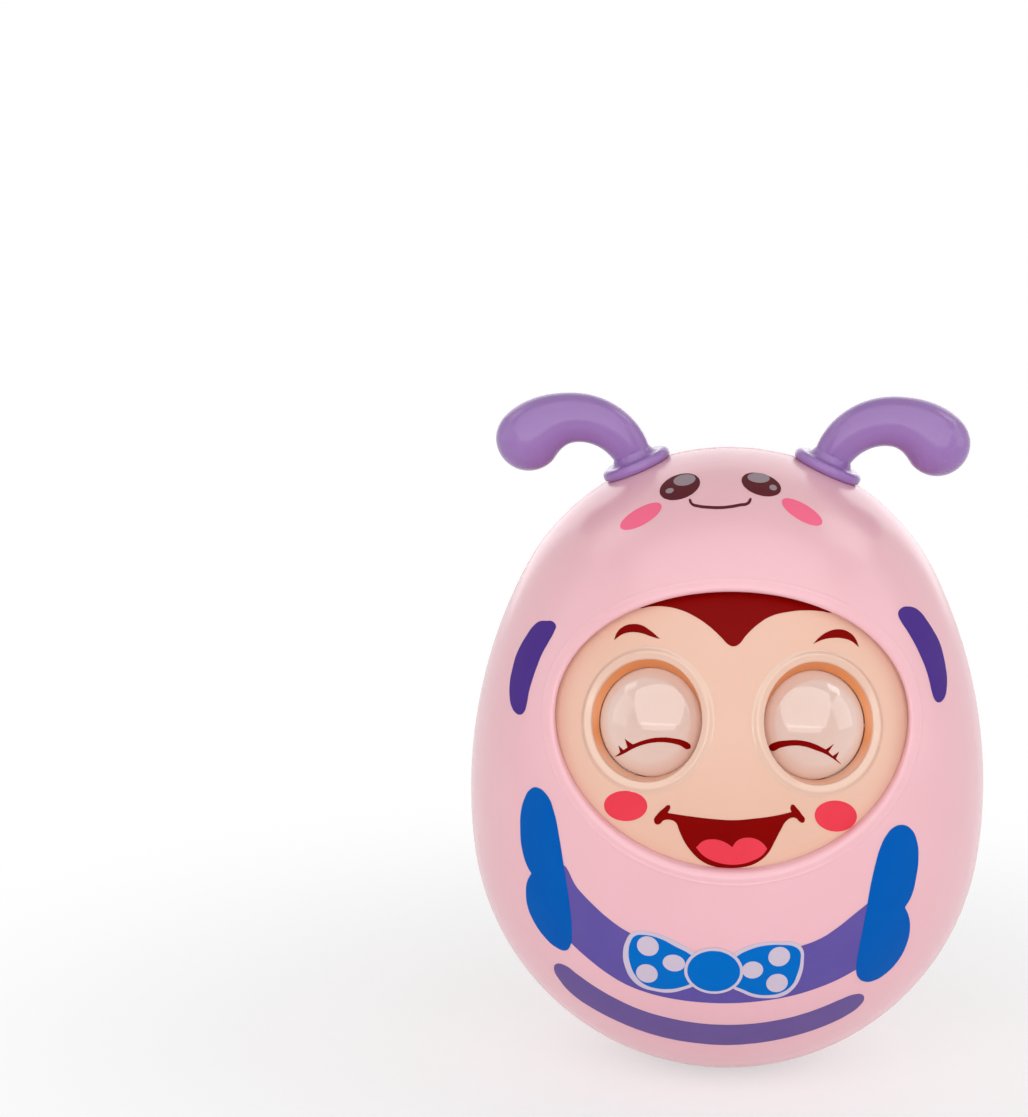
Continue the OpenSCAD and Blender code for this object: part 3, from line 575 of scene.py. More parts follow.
def mirrored(piece, name):
    """A copy on the other side, with its faces turned outwards again."""
    pick(piece)
    bpy.ops.object.duplicate()
    copy = bpy.context.object
    copy.name = copy.data.name = name
    copy.scale.x = -1
    bpy.ops.object.transform_apply(location=True, rotation=True, scale=True)
    bpy.ops.object.mode_set(mode="EDIT")
    bpy.ops.mesh.select_all(action="SELECT")
    bpy.ops.mesh.normals_make_consistent(inside=False)
    bpy.ops.object.mode_set(mode="OBJECT")
    return copy


round_turns = [2 * math.pi * k / 96 for k in range(96)]
profile = [(13.05, 2.9), (13.03, 2.52), (12.85, 2.48), (12.65, 2.39), (12.48, 2.27), (12.32, 2.14), (12.16, 2.04),
           (12.0, 2.0), (11.84, 2.03), (11.7, 2.11), (11.56, 2.18), (11.4, 2.24), (11.2, 2.3), (11.02, 2.37),
           (10.88, 2.48), (10.78, 2.62), (10.72, 2.8), (10.7, 3.0), (10.9, 3.2), (11.5, 3.4), (12.2, 3.4)]
eye_ring = loft("eye_ring_right", [[eye_point(r, t, i) for t in round_turns] for r, i in profile], joined=True)
eye_ring_left = mirrored(eye_ring, "eye_ring_left")
settle(face_plate, peach_abs, "body", "peach_abs", "face_plate")
for piece in (eye_ring, eye_ring_left):
    settle(piece, ring_abs, "body", "peach_abs")

# %% Eye sockets
BALL = Vector((12.85, -32.397, 72.032))
BALL_R, BALL_GAP, SOCKET_OUT = 10.6, 0.15, 1.5
WRAP_A, SHELF_A = 64, 5


def socket_ring(radius, polar, cover=0.0):
    """A ring round the eyeball, as far from the eye's looking line as the angle says, and nearer outside and above."""
    ring = []
    for t in round_turns:
        a = math.radians(polar - cover * (max(0, -math.cos(t)) ** 1.5 + 0.5 * math.sin(t)))
        out = math.cos(t) * ACROSS + math.sin(t) * RISE
        ring.append(BALL + radius * (math.cos(a) * LOOK + math.sin(a) * out))
    return ring


lip = [[eye_point(r, t, i) for t in round_turns] for r, i in ((11.6, 3.4), (10.9, 3.15), (10.7, 2.95))]
inside_wall = [socket_ring(BALL_R + BALL_GAP, a, SHELF_A * (90 - min(a, 90)) / (90 - WRAP_A))
               for a in (WRAP_A, 67, 72, 77, 83, 90, 97, 105, 114)]
outside_wall = [socket_ring(BALL_R + SOCKET_OUT, a) for a in (114, 105, 97, 90, 84, 79, 75)]
socket_right = loft("eye_socket_right", lip + inside_wall + outside_wall, joined=True)
socket_left = mirrored(socket_right, "eye_socket_left")
for piece in (socket_right, socket_left):
    settle(piece, socket_abs_painted_bounce, "body", "peach_abs")

# %% [markdown]
# ## Eyes
# Each eye is a ball on an axle: a thin lid cap covers a little more than half of it flush, and the rest is white. At
# rest the lid faces forward and the eye is shut. When the egg bows, the weighted ball turns and the white comes up.
# Both are lofted round the line through the lid's middle, which points 37 degrees up, with a fine groove between.

# %% Lid and eyeball
LID_UP = math.radians(37)
POLE = Vector((0, -math.cos(LID_UP), math.sin(LID_UP)))
SIDE_A = Vector((1, 0, 0))
SIDE_B = POLE.cross(SIDE_A)


def ball_ring(radius, polar):
    rho, height = radius * math.sin(math.radians(polar)), radius * math.cos(math.radians(polar))
    return [BALL + height * POLE + rho * (math.cos(t) * SIDE_A + math.sin(t) * SIDE_B) for t in round_turns]


SEAM_A, LID_EDGE_R, LID_IN_R, SHELL_IN_R = 94, 9.3, 9.22, 9.15


def groove(side):
    """Rows of radius and angle that round a shell's edge into the groove, on the lid's side (-1) or the white's."""
    return [(BALL_R - drop, SEAM_A + side * off) for drop, off in ((0.01, 0.8), (0.05, 0.45), (0.12, 0.3))]


def inner_face(radius):
    return [(radius, 85 - 82.0 * i / 16) for i in range(17)]


cap = [(BALL_R, 2.5 + (SEAM_A - 5) * i / 34) for i in range(35)] + groove(-1)
cap += [(LID_EDGE_R, SEAM_A - 0.3), (LID_IN_R, SEAM_A - 1.5)] + inner_face(LID_IN_R)
lid_right = loft("eyelid_cap_right", [ball_ring(*row) for row in cap], tip=(True, True))
ball = [(BALL_R, 177.5 - (175 - SEAM_A) * i / 34) for i in range(35)] + groove(1)
ball += [(SHELL_IN_R, SEAM_A + 0.3), (SHELL_IN_R, SEAM_A - 2)] + inner_face(SHELL_IN_R)
white_right = loft("eyeball_right", [ball_ring(*row) for row in ball], tip=(True, True))
lid_left = mirrored(lid_right, "eyelid_cap_left")
white_left = mirrored(white_right, "eyeball_left")
for side, lid, white in (("right", lid_right, white_right), ("left", lid_left, white_left)):
    settle(lid, lid_abs, "eye_" + side, "lid_abs", "eyelid_" + side)
    settle(white, white_abs, "eye_" + side, "eye_abs", "eye_white_" + side)

# %% [markdown]
# ## Antennae
# The antennae are soft moulded PVC, pushed through the crown like buttons: a bead inside, a neck, a flange with a
# thick rounded rim, and a curled horn that swells into a bulb. PVC lets a little light in, so it looks deeper and
# softer than the hard shell. One side is lofted along its bent middle line, and the other is mirrored.

# %% Soft PVC
soft_pvc, tree, surface, place = blank("soft_pvc_purple_gloss")
flow = add(tree, "TexNoise", {"Vector": place, "Scale": per_mm(14), "Detail": 3, "Roughness": 0.5})
tone = add(tree, "Mix", {0: flow.outputs["Fac"], 6: linear("#926cae"), 7: linear("#9e78b6")}, data_type="RGBA")
smear = add(tree, "TexNoise", {"Vector": place, "Scale": per_mm(6), "Detail": 4})
rough = add(tree, "MapRange", {"Value": smear.outputs["Fac"], "To Min": 0.12, "To Max": 0.2})
swell = add(tree, "TexNoise", {"Vector": place, "Scale": per_mm(4), "Detail": 2})
bump = add(tree, "Bump", {"Height": swell.outputs["Fac"], "Strength": 1, "Distance": 0.004 * MM})
dress(tree, surface, tone, rough, bump, {
    "IOR": 1.53, "Specular IOR Level": 0.3,
    "Subsurface Weight": 0.2, "Subsurface Radius": (1.0, 0.7, 1.0), "Subsurface Scale": 2.5 * MM})
print("soft PVC nodes:", len(tree.nodes))


# %% Antenna
def crown_h(rho):
    """The crown's height over its own middle, some millimetres from the antenna's line."""
    return math.sqrt(CROWN_R ** 2 - rho ** 2)


def stem_ring(x, z, turn, radius):
    """A ring round the antenna's middle line; x leans outwards and z leaves the crown."""
    ring = []
    for k in range(48):
        a = 2 * math.pi * k / 48
        u = x + radius * math.cos(a) * math.cos(turn)
        w = z - radius * math.cos(a) * math.sin(turn)
        ring.append((u * math.cos(LEAN) + w * math.sin(LEAN), radius * math.sin(a),
                     CROWN_Z - u * math.sin(LEAN) + w * math.cos(LEAN)))
    return ring


button = [(1.5, 38.9), (4.4, 38.9), (4.85, 39.15), (5.0, 39.6), (4.8, 40.1), (4.3, 40.3), (3.5, 40.35), (3.5, 42.6)]
flange = [(3.7, 0.02), (5.9, 0.02), (6.3, 0.2), (6.52, 0.55), (6.58, 1.0), (6.48, 1.45), (6.2, 1.8), (5.8, 1.97),
          (5.35, 1.93), (4.95, 1.82), (4.6, 1.84), (4.25, 2.0), (3.95, 2.3), (3.7, 2.7), (3.52, 3.1)]
button += [(rho, crown_h(rho) + rise) for rho, rise in flange]
BEND_R, BEND, START, BULB_R = 11.5, math.radians(115), 45.28, 6.1


def stem_radius(t):
    """The stem thickens all the way and swells into the bulb over its last part."""
    late = max(0, (t - 0.6) / 0.4)
    return (6.8 + 3.6 * t ** 0.7 + 1.8 * late * late * (3 - 2 * late)) / 2


rings = [stem_ring(0, h, 0, r) for r, h in button]
for i in range(1, 41):
    t = i / 40
    a = t * BEND
    rings.append(stem_ring(BEND_R * (1 - math.cos(a)), START + BEND_R * math.sin(a), a, stem_radius(t)))
for i in range(1, 15):
    rise = math.radians(88 * i / 14)
    reach = BULB_R * math.sin(rise)
    rings.append(stem_ring(BEND_R * (1 - math.cos(BEND)) + reach * math.sin(BEND),
                           START + BEND_R * math.sin(BEND) + reach * math.cos(BEND), BEND, BULB_R * math.cos(rise)))
antenna_right = loft("antenna_horn_right", rings, tip=(True, True))
antenna_left = mirrored(antenna_right, "antenna_horn_left")
settle(antenna_right, soft_pvc, "body", "purple_pvc", "antenna_right", angle=50)
settle(antenna_left, soft_pvc, "body", "purple_pvc", "antenna_left", angle=50)

# %% [markdown]
# ## Pad printing
# The stripes, wings, bow and faces are pad printed: a soft pad presses a flat picture of ink straight onto the curved
# plastic. The model does the same. Each outline is a filled flat curve in front of the toy, cut into small cells,
# pushed straight back onto the piece with Shrinkwrap, and given a hair's thickness. Later inks lie on earlier ones.

# %% Ink
def pad_ink(name, thin, full):
    """Gloss pad ink: nearly even, a little thinner in millimetre clouds where the pad lifted off."""
    material, tree, surface, place = blank(name)
    film = add(tree, "TexNoise", {"Vector": place, "Scale": per_mm(7), "Detail": 5, "Roughness": 0.6})
    tone = add(tree, "Mix", {0: film.outputs["Fac"], 6: linear(thin), 7: linear(full)}, data_type="RGBA")
    rough = add(tree, "MapRange", {"Value": film.outputs["Fac"], "To Min": 0.36, "To Max": 0.24})
    grain = add(tree, "TexNoise", {"Vector": place, "Scale": per_mm(0.6), "Detail": 2})
    bump = add(tree, "Bump", {"Height": grain.outputs["Fac"], "Strength": 1, "Distance": 0.003 * MM})
    dress(tree, surface, tone, rough, bump, {"Specular IOR Level": 0.02})
    return material


ink = {
    "blue": pad_ink("pad_ink_wing_blue", "#0560b8", "#0058b2"),
    "sky": pad_ink("pad_ink_bow_blue", "#0a70c8", "#0069c3"),
    "violet": pad_ink("pad_ink_band_violet", "#6a5ba6", "#5f509f"),
    "mauve": pad_ink("pad_ink_stripe_mauve", "#745f9c", "#6a5796"),
    "grape": pad_ink("pad_ink_side_grape", "#54388e", "#4b2f86"),
    "lilac": pad_ink("pad_ink_pale_lilac", "#cbbfd6", "#d6c6d2"),
    "maroon": pad_ink("pad_ink_maroon", "#870503", "#800302"),
    "brown": pad_ink("pad_ink_dark_brown", "#652c32", "#5b242b"),
    "coral": pad_ink("pad_ink_coral", "#ec4656", "#e83c4d"),
    "rose": pad_ink("pad_ink_rose", "#ff7898", "#ff6e91"),
    "smoke": pad_ink("pad_ink_smoke_grey", "#a3949a", "#98878d"),
    "white": pad_ink("pad_ink_white", "#f4f1ee", "#faf8f6"),
    "black": pad_ink("pad_ink_pupil", "#2a0d0d", "#220909"),
}
print("inks:", len(ink))


# %% Outlines
def ellipse(x, z, rx, rz, tilt=0.0):
    c, s = math.cos(math.radians(tilt)), math.sin(math.radians(tilt))
    ring = []
    for k in range(16):
        a = 2 * math.pi * k / 16
        u, w = rx * math.cos(a), rz * math.sin(a)
        ring.append((x + u * c - w * s, z + u * s + w * c))
    return ring


def stroke(points, width):
    """The outline of a line of even width with round ends."""
    pts = [Vector(p) for p in points]
    sides = ([], [])
    for i, p in enumerate(pts):
        d = (pts[min(i + 1, len(pts) - 1)] - pts[max(i - 1, 0)]).normalized()
        n = Vector((-d.y, d.x)) * width / 2
        sides[0].append(tuple(p + n))
        sides[1].append(tuple(p - n))
    first, last = (pts[0] - pts[1]).normalized(), (pts[-1] - pts[-2]).normalized()
    return [tuple(pts[0] + first * width / 2)] + sides[0] + [tuple(pts[-1] + last * width / 2)] + sides[1][::-1]


print("points in an ellipse:", len(ellipse(0, 0, 1, 1)))

# %% Printing
INK_T, PRINT_Y = 0.04, -70


def flat_print(name, outlines, cell):
    """A filled flat picture in front of the toy, cut into cells; a third value in a point makes it a corner."""
    bpy.ops.object.select_all(action="DESELECT")
    bpy.ops.curve.primitive_bezier_circle_add()
    piece = bpy.context.object
    piece.name = piece.data.name = name
    shape = piece.data
    shape.splines.clear()
    shape.dimensions, shape.fill_mode, shape.resolution_u = "2D", "BOTH", 6
    for outline in outlines:
        line = shape.splines.new("BEZIER")
        line.bezier_points.add(len(outline) - 1)
        line.use_cyclic_u = True
        for knot, point in zip(line.bezier_points, outline):
            knot.co = (point[0] * MM, point[1] * MM, 0)
            knot.handle_left_type = knot.handle_right_type = "VECTOR" if len(point) > 2 else "AUTO"
    bpy.ops.object.convert(target="MESH")
    piece = bpy.context.object
    piece.rotation_euler.x = math.pi / 2
    piece.location.y = PRINT_Y * MM
    bpy.ops.object.transform_apply(location=True, rotation=True, scale=True)
    corners = [v.co for v in piece.data.vertices]
    bpy.ops.object.mode_set(mode="EDIT")
    for axis, normal in ((0, (1, 0, 0)), (2, (0, 0, 1))):
        low, high = min(c[axis] for c in corners), max(c[axis] for c in corners)
        for k in range(math.ceil(low / (cell * MM)), math.floor(high / (cell * MM)) + 1):
            bpy.ops.mesh.select_all(action="SELECT")
            bpy.ops.mesh.bisect(plane_co=Vector(normal) * k * cell * MM, plane_no=normal)
    bpy.ops.mesh.select_all(action="SELECT")
    bpy.ops.mesh.remove_doubles(threshold=1e-7)
    bpy.ops.object.mode_set(mode="OBJECT")
    return piece


def press(piece, form, layer):
    """Pushes the flat print back onto a form and gives it the thickness of its layers of ink."""
    pick(piece)
    bpy.ops.object.modifier_add(type="SHRINKWRAP")
    wrap = piece.modifiers[-1]
    wrap.target, wrap.wrap_method, wrap.wrap_mode = form, "PROJECT", "ABOVE_SURFACE"
    wrap.use_project_y, wrap.use_positive_direction, wrap.use_negative_direction = True, True, False
    wrap.offset = INK_T * layer * MM
    bpy.ops.object.modifier_apply(modifier=wrap.name)
    bpy.ops.object.modifier_add(type="SOLIDIFY")
    film = piece.modifiers[-1]
    film.thickness, film.offset = (INK_T * layer - 0.01) * MM, -1
    bpy.ops.object.modifier_apply(modifier=film.name)


def printed(name, colour, outlines, form, body="body", layer=1, cell=1.2):
    piece = flat_print(name, outlines, cell)
    press(piece, form, layer)
    settle(piece, ink[colour], body, "print_ink", angle=60)


print("one layer of ink in mm:", INK_T)

# %% [markdown]
# ### Body decoration
# A wide violet band runs under the face like a smile, with a narrower stripe below it. Two blue wings end the band,
# a spotted bow sits in its middle, and a dark bean lies on each side of the face. The picture was pressed on slightly
# turned, so left and right aren't exact mirror images, and the outlines keep that.

# %% Bands, wings and side beans
band = [(-30.4, 47.0), (-26.8, 43.1), (-23.9, 40.5), (-21.0, 38.3), (-18.1, 36.6), (-12.3, 34.7), (-7.2, 33.7),
        (-1.5, 33.3), (4.2, 33.5), (8.8, 34.0), (12.5, 34.9), (16.2, 36.2), (19.1, 38.0), (21.9, 40.1), (24.5, 42.0),
        (26.2, 43.4, 1), (24.8, 29.6, 1), (22.7, 28.6), (19.6, 27.1), (16.1, 25.8), (10.9, 24.4), (5.7, 23.6),
        (1.1, 23.2), (-3.5, 23.1), (-9.3, 23.4), (-13.9, 24.1), (-18.0, 25.3), (-21.5, 27.1), (-25.0, 29.5),
        (-28.0, 31.9), (-29.8, 33.6, 1)]
stripe = [(-31.2, 24.8), (-30.6, 26.2), (-29.1, 26.4), (-26.8, 25.1), (-23.9, 23.4), (-19.7, 21.4), (-15.0, 19.7),
          (-10.3, 18.7), (-5.7, 18.1), (-1.0, 17.9), (3.6, 18.1), (8.2, 18.7), (12.9, 19.7), (17.5, 21.2), (20.4, 22.3),
          (22.8, 22.9), (24.3, 22.5), (24.8, 21.2), (24.0, 19.5), (22.0, 17.9), (17.9, 16.0), (13.2, 14.5), (8.5, 13.4),
          (3.8, 12.7), (-0.8, 12.4), (-5.5, 12.6), (-10.2, 13.1), (-15.0, 14.1), (-19.7, 15.6), (-23.9, 17.3),
          (-27.5, 19.3), (-29.9, 21.8)]
wing_left = [(-34.5, 59.8), (-32.6, 59.0), (-31.2, 56.2), (-30.3, 52.3), (-29.5, 47.7), (-28.8, 43.6), (-28.2, 39.3),
             (-27.8, 34.2), (-28.1, 31.3), (-29.0, 29.9), (-30.7, 30.0), (-32.8, 31.4), (-34.9, 34.1), (-36.0, 36.7),
             (-36.3, 39.3), (-36.1, 41.6), (-35.3, 43.6, 1), (-36.1, 44.8), (-37.1, 47.9), (-37.4, 51.1), (-37.3, 54.5),
             (-36.6, 57.3), (-35.7, 59.0)]
wing_right = [(30.2, 55.3), (31.9, 54.2), (33.1, 51.7), (33.5, 48.5), (33.2, 44.9), (32.4, 41.4), (31.3, 39.6, 1),
              (32.0, 38.0), (32.5, 35.2), (32.1, 31.8), (30.7, 28.6), (28.4, 26.2), (26.3, 25.3), (24.7, 25.5),
              (23.3, 26.8), (22.8, 29.0), (23.0, 32.4), (23.5, 36.3), (24.2, 41.3), (24.8, 45.5), (25.5, 49.0),
              (26.3, 51.9), (27.4, 54.0), (28.6, 55.1)]
bean_left = [(-33.3, 88.1), (-32.1, 88.3), (-31.5, 87.8), (-31.7, 87.0), (-32.8, 84.8), (-33.9, 82.7), (-34.8, 80.4),
             (-35.6, 78.0), (-36.2, 75.8), (-36.6, 73.5), (-37.0, 72.2), (-37.8, 71.4), (-38.6, 71.4), (-39.5, 72.3),
             (-39.9, 73.9), (-39.9, 76.2), (-39.5, 78.4), (-38.9, 80.7), (-38.1, 82.6), (-37.0, 84.6), (-35.7, 86.6),
             (-34.5, 87.7)]
bean_right = [(29.4, 91.3), (30.1, 91.8), (31.4, 91.7), (32.6, 91.2), (33.6, 90.4), (35.0, 88.6), (36.4, 86.4),
              (37.5, 84.3), (38.2, 82.0), (38.6, 80.0), (38.8, 78.3), (38.7, 76.7), (38.4, 75.6), (37.7, 74.9),
              (36.9, 74.9), (36.2, 75.6), (35.7, 76.9), (35.2, 78.9), (34.5, 81.1), (33.6, 83.2), (32.4, 85.6),
              (31.1, 87.8), (29.9, 89.6), (29.4, 90.6)]
printed("band_print", "violet", [band], front_shell)
printed("stripe_print", "mauve", [stripe], front_shell)
printed("wing_print", "blue", [wing_left, wing_right], front_shell, layer=2)
printed("side_bean_print", "grape", [bean_left, bean_right], front_shell)

# %% Bow
bow_rim_left = [(-6.3, 33.9), (-9.2, 35.5), (-12.1, 36.7), (-15.2, 37.0), (-17.0, 36.5), (-18.1, 34.7), (-18.6, 31.6),
                (-18.1, 28.9), (-17.1, 26.8), (-15.3, 25.3), (-12.9, 24.8), (-10.3, 24.8), (-7.9, 25.7), (-5.8, 27.0),
                (-4.2, 30.6)]
bow_rim_right = [(0.6, 33.5), (3.4, 35.3), (6.3, 36.0), (9.4, 36.0), (11.6, 35.7), (12.9, 34.4), (13.2, 32.2),
                 (12.8, 28.7), (11.6, 26.1), (9.7, 24.6), (6.8, 24.3), (4.4, 24.7), (2.4, 25.7), (0.7, 26.7),
                 (-0.8, 30.1)]
bow_left = [(-6.6, 33.1), (-9.5, 34.7), (-12.3, 36.0), (-15.2, 36.3), (-16.5, 35.9), (-17.3, 34.5), (-17.6, 32.3),
            (-17.3, 30.1), (-16.4, 27.8), (-14.8, 26.1), (-12.8, 25.5), (-10.5, 25.6), (-8.2, 26.3), (-6.2, 27.6),
            (-4.8, 30.6)]
bow_right = [(1.0, 32.8), (3.6, 34.6), (6.5, 35.4), (9.3, 35.4), (11.3, 35.0), (12.4, 34.0), (12.6, 32.1), (12.1, 29.1),
             (11.1, 26.7), (9.4, 25.4), (6.8, 25.0), (4.5, 25.4), (2.7, 26.3), (1.0, 27.3), (-0.2, 30.1)]
dots = [ellipse(x, z, 1.9, 1.95) for x, z in ((-14.2, 34.2), (-14.3, 28.5), (8.8, 33.1), (8.6, 27.6))]
dots += [ellipse(-9.6, 31.3, 1.95, 1.7), ellipse(4.2, 30.5, 1.85, 1.75)]
printed("bow_rim_left_print", "lilac", [bow_rim_left], front_shell, layer=2)
printed("bow_rim_right_print", "lilac", [bow_rim_right], front_shell, layer=2)
printed("bow_loops_print", "sky", [bow_left, bow_right], front_shell, layer=3)
printed("bow_dots_print", "lilac", dots, front_shell, layer=4)
printed("bow_knot_rim_print", "lilac", [ellipse(-2.6, 30.1, 5.15, 4.75)], front_shell, layer=5)
printed("bow_knot_print", "sky", [ellipse(-2.6, 30.1, 4.6, 4.2)], front_shell, layer=6)

# %% [markdown]
# ### The little face on the crown
# Above the opening, two shiny brown eyes, a thin smile and two rosy cheeks make the bee's own face. The crown curves
# away there, so the outlines are tilted and squeezed, and the push onto the egg stretches them back to round.

# %% Crown face
head_eyes = [ellipse(-9.7, 111.75, 3.75, 1.6, 17), ellipse(4.9, 112.45, 3.6, 1.45, -12)]
head_glints = [ellipse(-8.85, 112.72, 2.0, 0.7, 11), ellipse(4.45, 113.35, 2.0, 0.62, -4),
               ellipse(-11.5, 111.1, 0.75, 0.32, 15), ellipse(7.0, 112.0, 0.68, 0.36, -10)]
smile = stroke([(-7.9, 110.1), (-7.55, 109.6), (-6.5, 109.35), (-4.4, 109.25), (-2.4, 109.27), (-0.6, 109.45),
                (1.0, 109.7), (2.4, 109.95), (2.9, 110.5)], 0.42)
head_cheeks = [ellipse(-16.6, 107.0, 4.15, 1.2, 29), ellipse(12.1, 108.35, 4.0, 1.2, -27)]
printed("head_eye_print", "brown", head_eyes, front_shell, cell=1)
printed("head_glint_print", "smoke", head_glints, front_shell, layer=2, cell=1)
printed("head_smile_print", "brown", [smile], front_shell, cell=1)
printed("head_cheek_print", "rose", head_cheeks, front_shell, cell=1)

# %% [markdown]
# ### The doll's face
# On the plate, the hair fills the top of the oval down to a rounded point, with brows, cheeks and a wide open laugh
# below. The tongue lies on the mouth's ink. The hair runs on behind the shell's roll, as it does on the real plate.

# %% Hair, brows, mouth and cheeks
hair = [(-19.5, 93.0, 1), (-16.6, 92.4), (-14.8, 92.85), (-12.2, 93.1), (-9.6, 92.8), (-7.0, 91.9), (-4.4, 90.4),
        (-2.2, 88.6), (-1.0, 87.5), (-0.1, 87.2), (0.8, 87.5), (2.2, 89.1), (4.3, 90.9), (6.5, 92.1), (9.6, 92.7),
        (12.7, 92.8), (15.3, 92.5), (17.3, 92.1), (19.8, 92.6, 1), (12, 97.6), (0, 99.4), (-12, 97.7)]
brow_left = [(-21.0, 86.7, 1), (-20.5, 88.0), (-19.4, 89.1), (-17.9, 89.7), (-16.1, 89.7), (-14.6, 89.0),
             (-12.9, 87.8, 1), (-14.3, 88.0), (-16.1, 88.4), (-17.8, 88.4), (-19.4, 87.9)]
brow_right = [(13.9, 87.3, 1), (15.3, 88.5), (16.9, 89.2), (18.7, 89.3), (20.3, 88.7), (21.4, 87.7), (22.2, 86.0, 1),
              (20.7, 87.2), (19.1, 87.8), (17.6, 88.0), (15.8, 87.9)]
mouth = [(-10.9, 59.9), (-11.9, 59.2), (-13.0, 58.0), (-13.5, 57.0), (-13.1, 56.3), (-12.5, 56.4), (-11.8, 57.1),
         (-10.6, 57.3), (-9.7, 56.9), (-9.1, 55.6), (-8.2, 53.7), (-6.8, 51.8), (-5.1, 50.3), (-2.9, 49.4),
         (-0.3, 49.2), (2.7, 49.5), (4.7, 50.3), (6.4, 51.8), (7.6, 54.0), (8.7, 56.2), (9.5, 57.5), (10.6, 58.1),
         (11.3, 57.9), (11.9, 57.3), (12.5, 57.1), (12.8, 57.7), (12.3, 58.5), (11.4, 59.7), (10.5, 60.4), (10.2, 59.9),
         (10.4, 59.1, 1), (7.3, 58.5), (3.9, 58.1), (0.4, 57.8), (-3.0, 57.9), (-7.4, 58.2), (-11.1, 58.5, 1),
         (-10.7, 59.7)]
tongue = [(-6.1, 52.7, 1), (-4.9, 53.9), (-3.4, 54.3), (-2.1, 54.2), (-0.8, 53.7), (0.2, 53.0, 1), (1.1, 54.2),
          (2.6, 54.7), (4.2, 54.5), (5.5, 53.7), (6.3, 52.7, 1), (5.5, 51.6), (3.6, 50.5), (1.4, 49.9), (-1.0, 49.9),
          (-3.3, 50.5), (-4.9, 51.4)]
cheeks = [ellipse(-18.5, 58.9, 3.85, 2.65, 12), ellipse(18.3, 57.8, 3.85, 2.7, -16)]
printed("hair_print", "maroon", [hair], face_plate)
printed("brow_print", "maroon", [brow_left, brow_right], face_plate)
printed("mouth_print", "maroon", [mouth], face_plate)
printed("tongue_print", "coral", [tongue], face_plate, layer=2)
printed("cheek_print", "coral", cheeks, face_plate)

# %% [markdown]
# ### Lashes and irises
# Each lid carries a curved lash line with two small lashes and a pointed tail, printed while the lid faces forward.
# The irises are on the white parts, which look down at rest. They are printed with the eye open, on a plain ball
# that stands in for it, and then turned back with the eye by the full 80 degrees.

# %% Lashes
lash_left = [(-20.6, 66.8, 1), (-19.6, 68.2, 1), (-19.9, 69.5, 1), (-19.0, 68.8, 1), (-18.3, 69.5, 1), (-18.8, 71.0, 1),
             (-17.4, 70.2, 1), (-15.4, 71.2), (-12.8, 71.8), (-10.2, 71.6), (-8.2, 70.9), (-7.3, 70.0), (-7.5, 69.4),
             (-9.3, 70.3), (-11.5, 70.9), (-13.4, 70.9), (-15.4, 70.4), (-17.3, 69.4), (-18.9, 68.1)]
lash_right = [(19.2, 66.5, 1), (18.1, 68.0, 1), (18.6, 69.3, 1), (17.5, 68.6, 1), (16.7, 69.5, 1), (17.6, 70.9, 1),
              (16.2, 70.0, 1), (14.2, 71.1), (11.8, 71.7), (9.3, 71.5), (7.4, 70.9), (6.4, 69.9), (6.7, 69.2),
              (8.5, 70.1), (10.6, 70.7), (12.5, 70.6), (14.5, 69.9), (16.2, 69.1), (17.6, 68.0)]
printed("lash_left_print", "maroon", [lash_left], lid_left, "eye_left", cell=0.8)
printed("lash_right_print", "maroon", [lash_right], lid_right, "eye_right", cell=0.8)


# %% Irises
OPEN_A = math.radians(80)


def iris_print(name, colour, outlines, side, layer):
    bpy.ops.object.select_all(action="DESELECT")
    bpy.ops.mesh.primitive_uv_sphere_add(segments=128, ring_count=64, radius=BALL_R * MM,
                                         location=Vector((side * BALL.x, BALL.y, BALL.z)) * MM)
    form = bpy.context.object
    bpy.ops.object.shade_smooth()
    piece = flat_print(name, outlines, 0.9)
    press(piece, form, layer)
    bpy.data.objects.remove(form)
    pivot = Matrix.Translation(Vector((0, BALL.y, BALL.z)) * MM)
    piece.matrix_world = pivot @ Matrix.Rotation(OPEN_A, 4, "X") @ pivot.inverted()
    bpy.ops.object.transform_apply(location=True, rotation=True, scale=True)
    settle(piece, ink[colour], "eye_right" if side > 0 else "eye_left", "print_ink", angle=60)


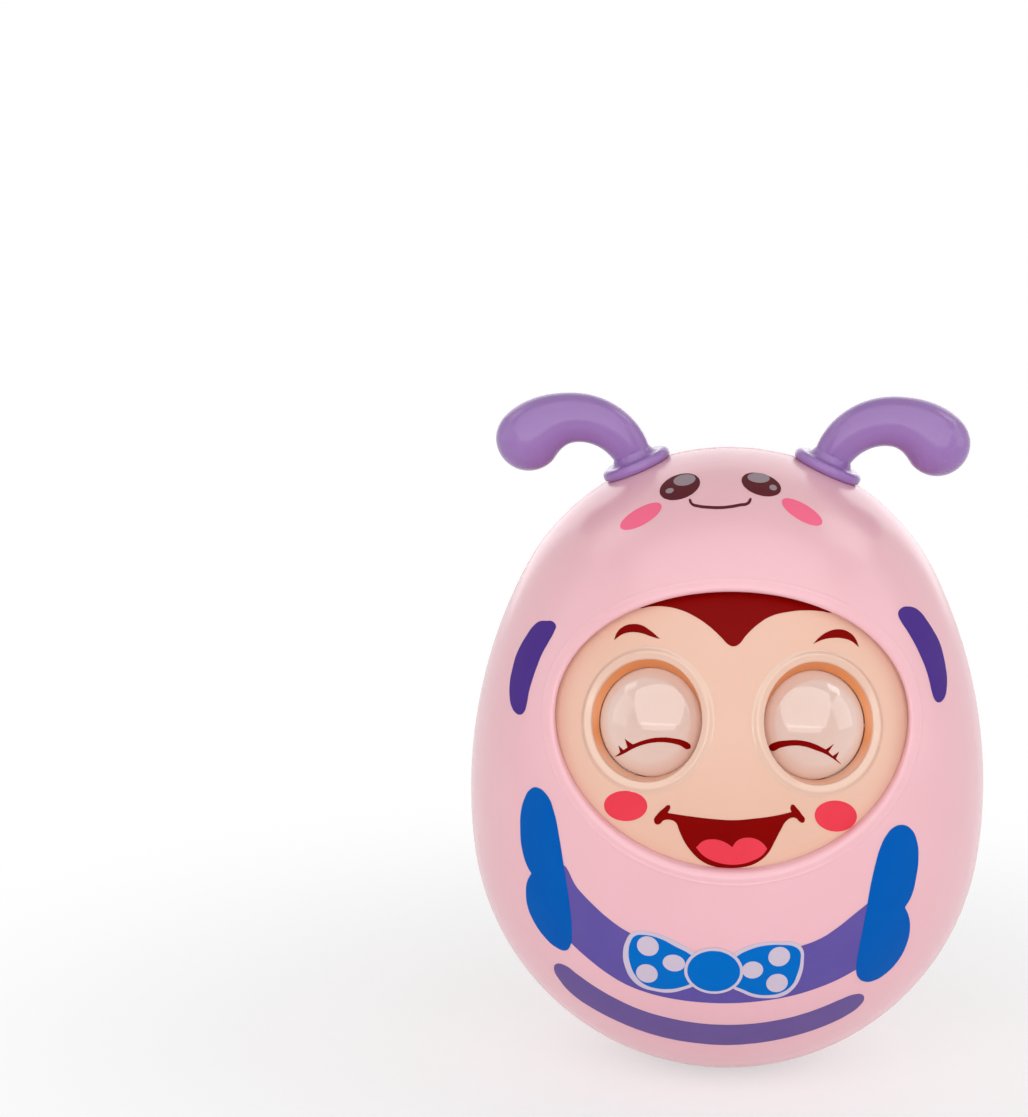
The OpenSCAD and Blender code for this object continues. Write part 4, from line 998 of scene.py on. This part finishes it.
for side, word in ((-1, "left"), (1, "right")):
    x, z = side * (BALL.x + 1.1), BALL.z - 1.1
    iris_print("iris_" + word + "_print", "maroon", [ellipse(x, z, 5.6, 5.6)], side, 1)
    iris_print("pupil_" + word + "_print", "black", [ellipse(x, z + 0.4, 3.1, 3.3)], side, 2)
    glints = [ellipse(x - 2.4, z + 2.4, 1.25, 1.35), ellipse(x + 2.2, z - 2.2, 0.7, 0.75)]
    iris_print("glint_" + word + "_print", "white", glints, side, 3)

# %% [markdown]
# ## Metal parts
# The screws, axles, weights and the bell are sealed inside or sit deep in wells, and their CAD shapes are right, so
# they keep them. They only need finishes: bright zinc on the screws and sheet steel, rough grey iron for the cast
# weight, and warm, slightly uneven brass for the bell.

# %% Metals
def metal(name, dark, light, gloss, dull, grain_mm, depth):
    material, tree, surface, place = blank(name)
    grain = add(tree, "TexNoise", {"Vector": place, "Scale": per_mm(grain_mm), "Detail": 5, "Roughness": 0.6})
    tone = add(tree, "Mix", {0: grain.outputs["Fac"], 6: linear(dark), 7: linear(light)}, data_type="RGBA")
    rough = add(tree, "MapRange", {"Value": grain.outputs["Fac"], "To Min": gloss, "To Max": dull})
    bump = add(tree, "Bump", {"Height": grain.outputs["Fac"], "Strength": 1, "Distance": depth * MM})
    dress(tree, surface, tone, rough, bump, {"Metallic": 1})
    return material


# Bright zinc plate: cool silver with a fine crystalline cloudiness.
zinc = metal("zinc_plated_steel", "#a9adb2", "#c3c6c9", 0.22, 0.38, 0.7, 0.004)
# Grey iron as cast: dark and sandy, with a dull metallic sparkle.
iron = metal("grey_cast_iron", "#4c4f52", "#64676a", 0.55, 0.75, 0.5, 0.06)
# Spun brass: yellow metal, a little uneven from the tool.
brass = metal("spun_brass", "#bd9440", "#d2ac58", 0.18, 0.3, 1.2, 0.006)
finishes = {"steel": zinc, "iron": iron, "brass": brass, "peach_abs": peach_abs}
for part in frame["record"]["subparts"]:
    node = frame["nodes"][part["node"]]
    if not node.hide_render and part["material_slot"] in finishes:
        node.data.materials.clear()
        node.data.materials.append(finishes[part["material_slot"]])
        print(node.name, "gets", finishes[part["material_slot"]].name)
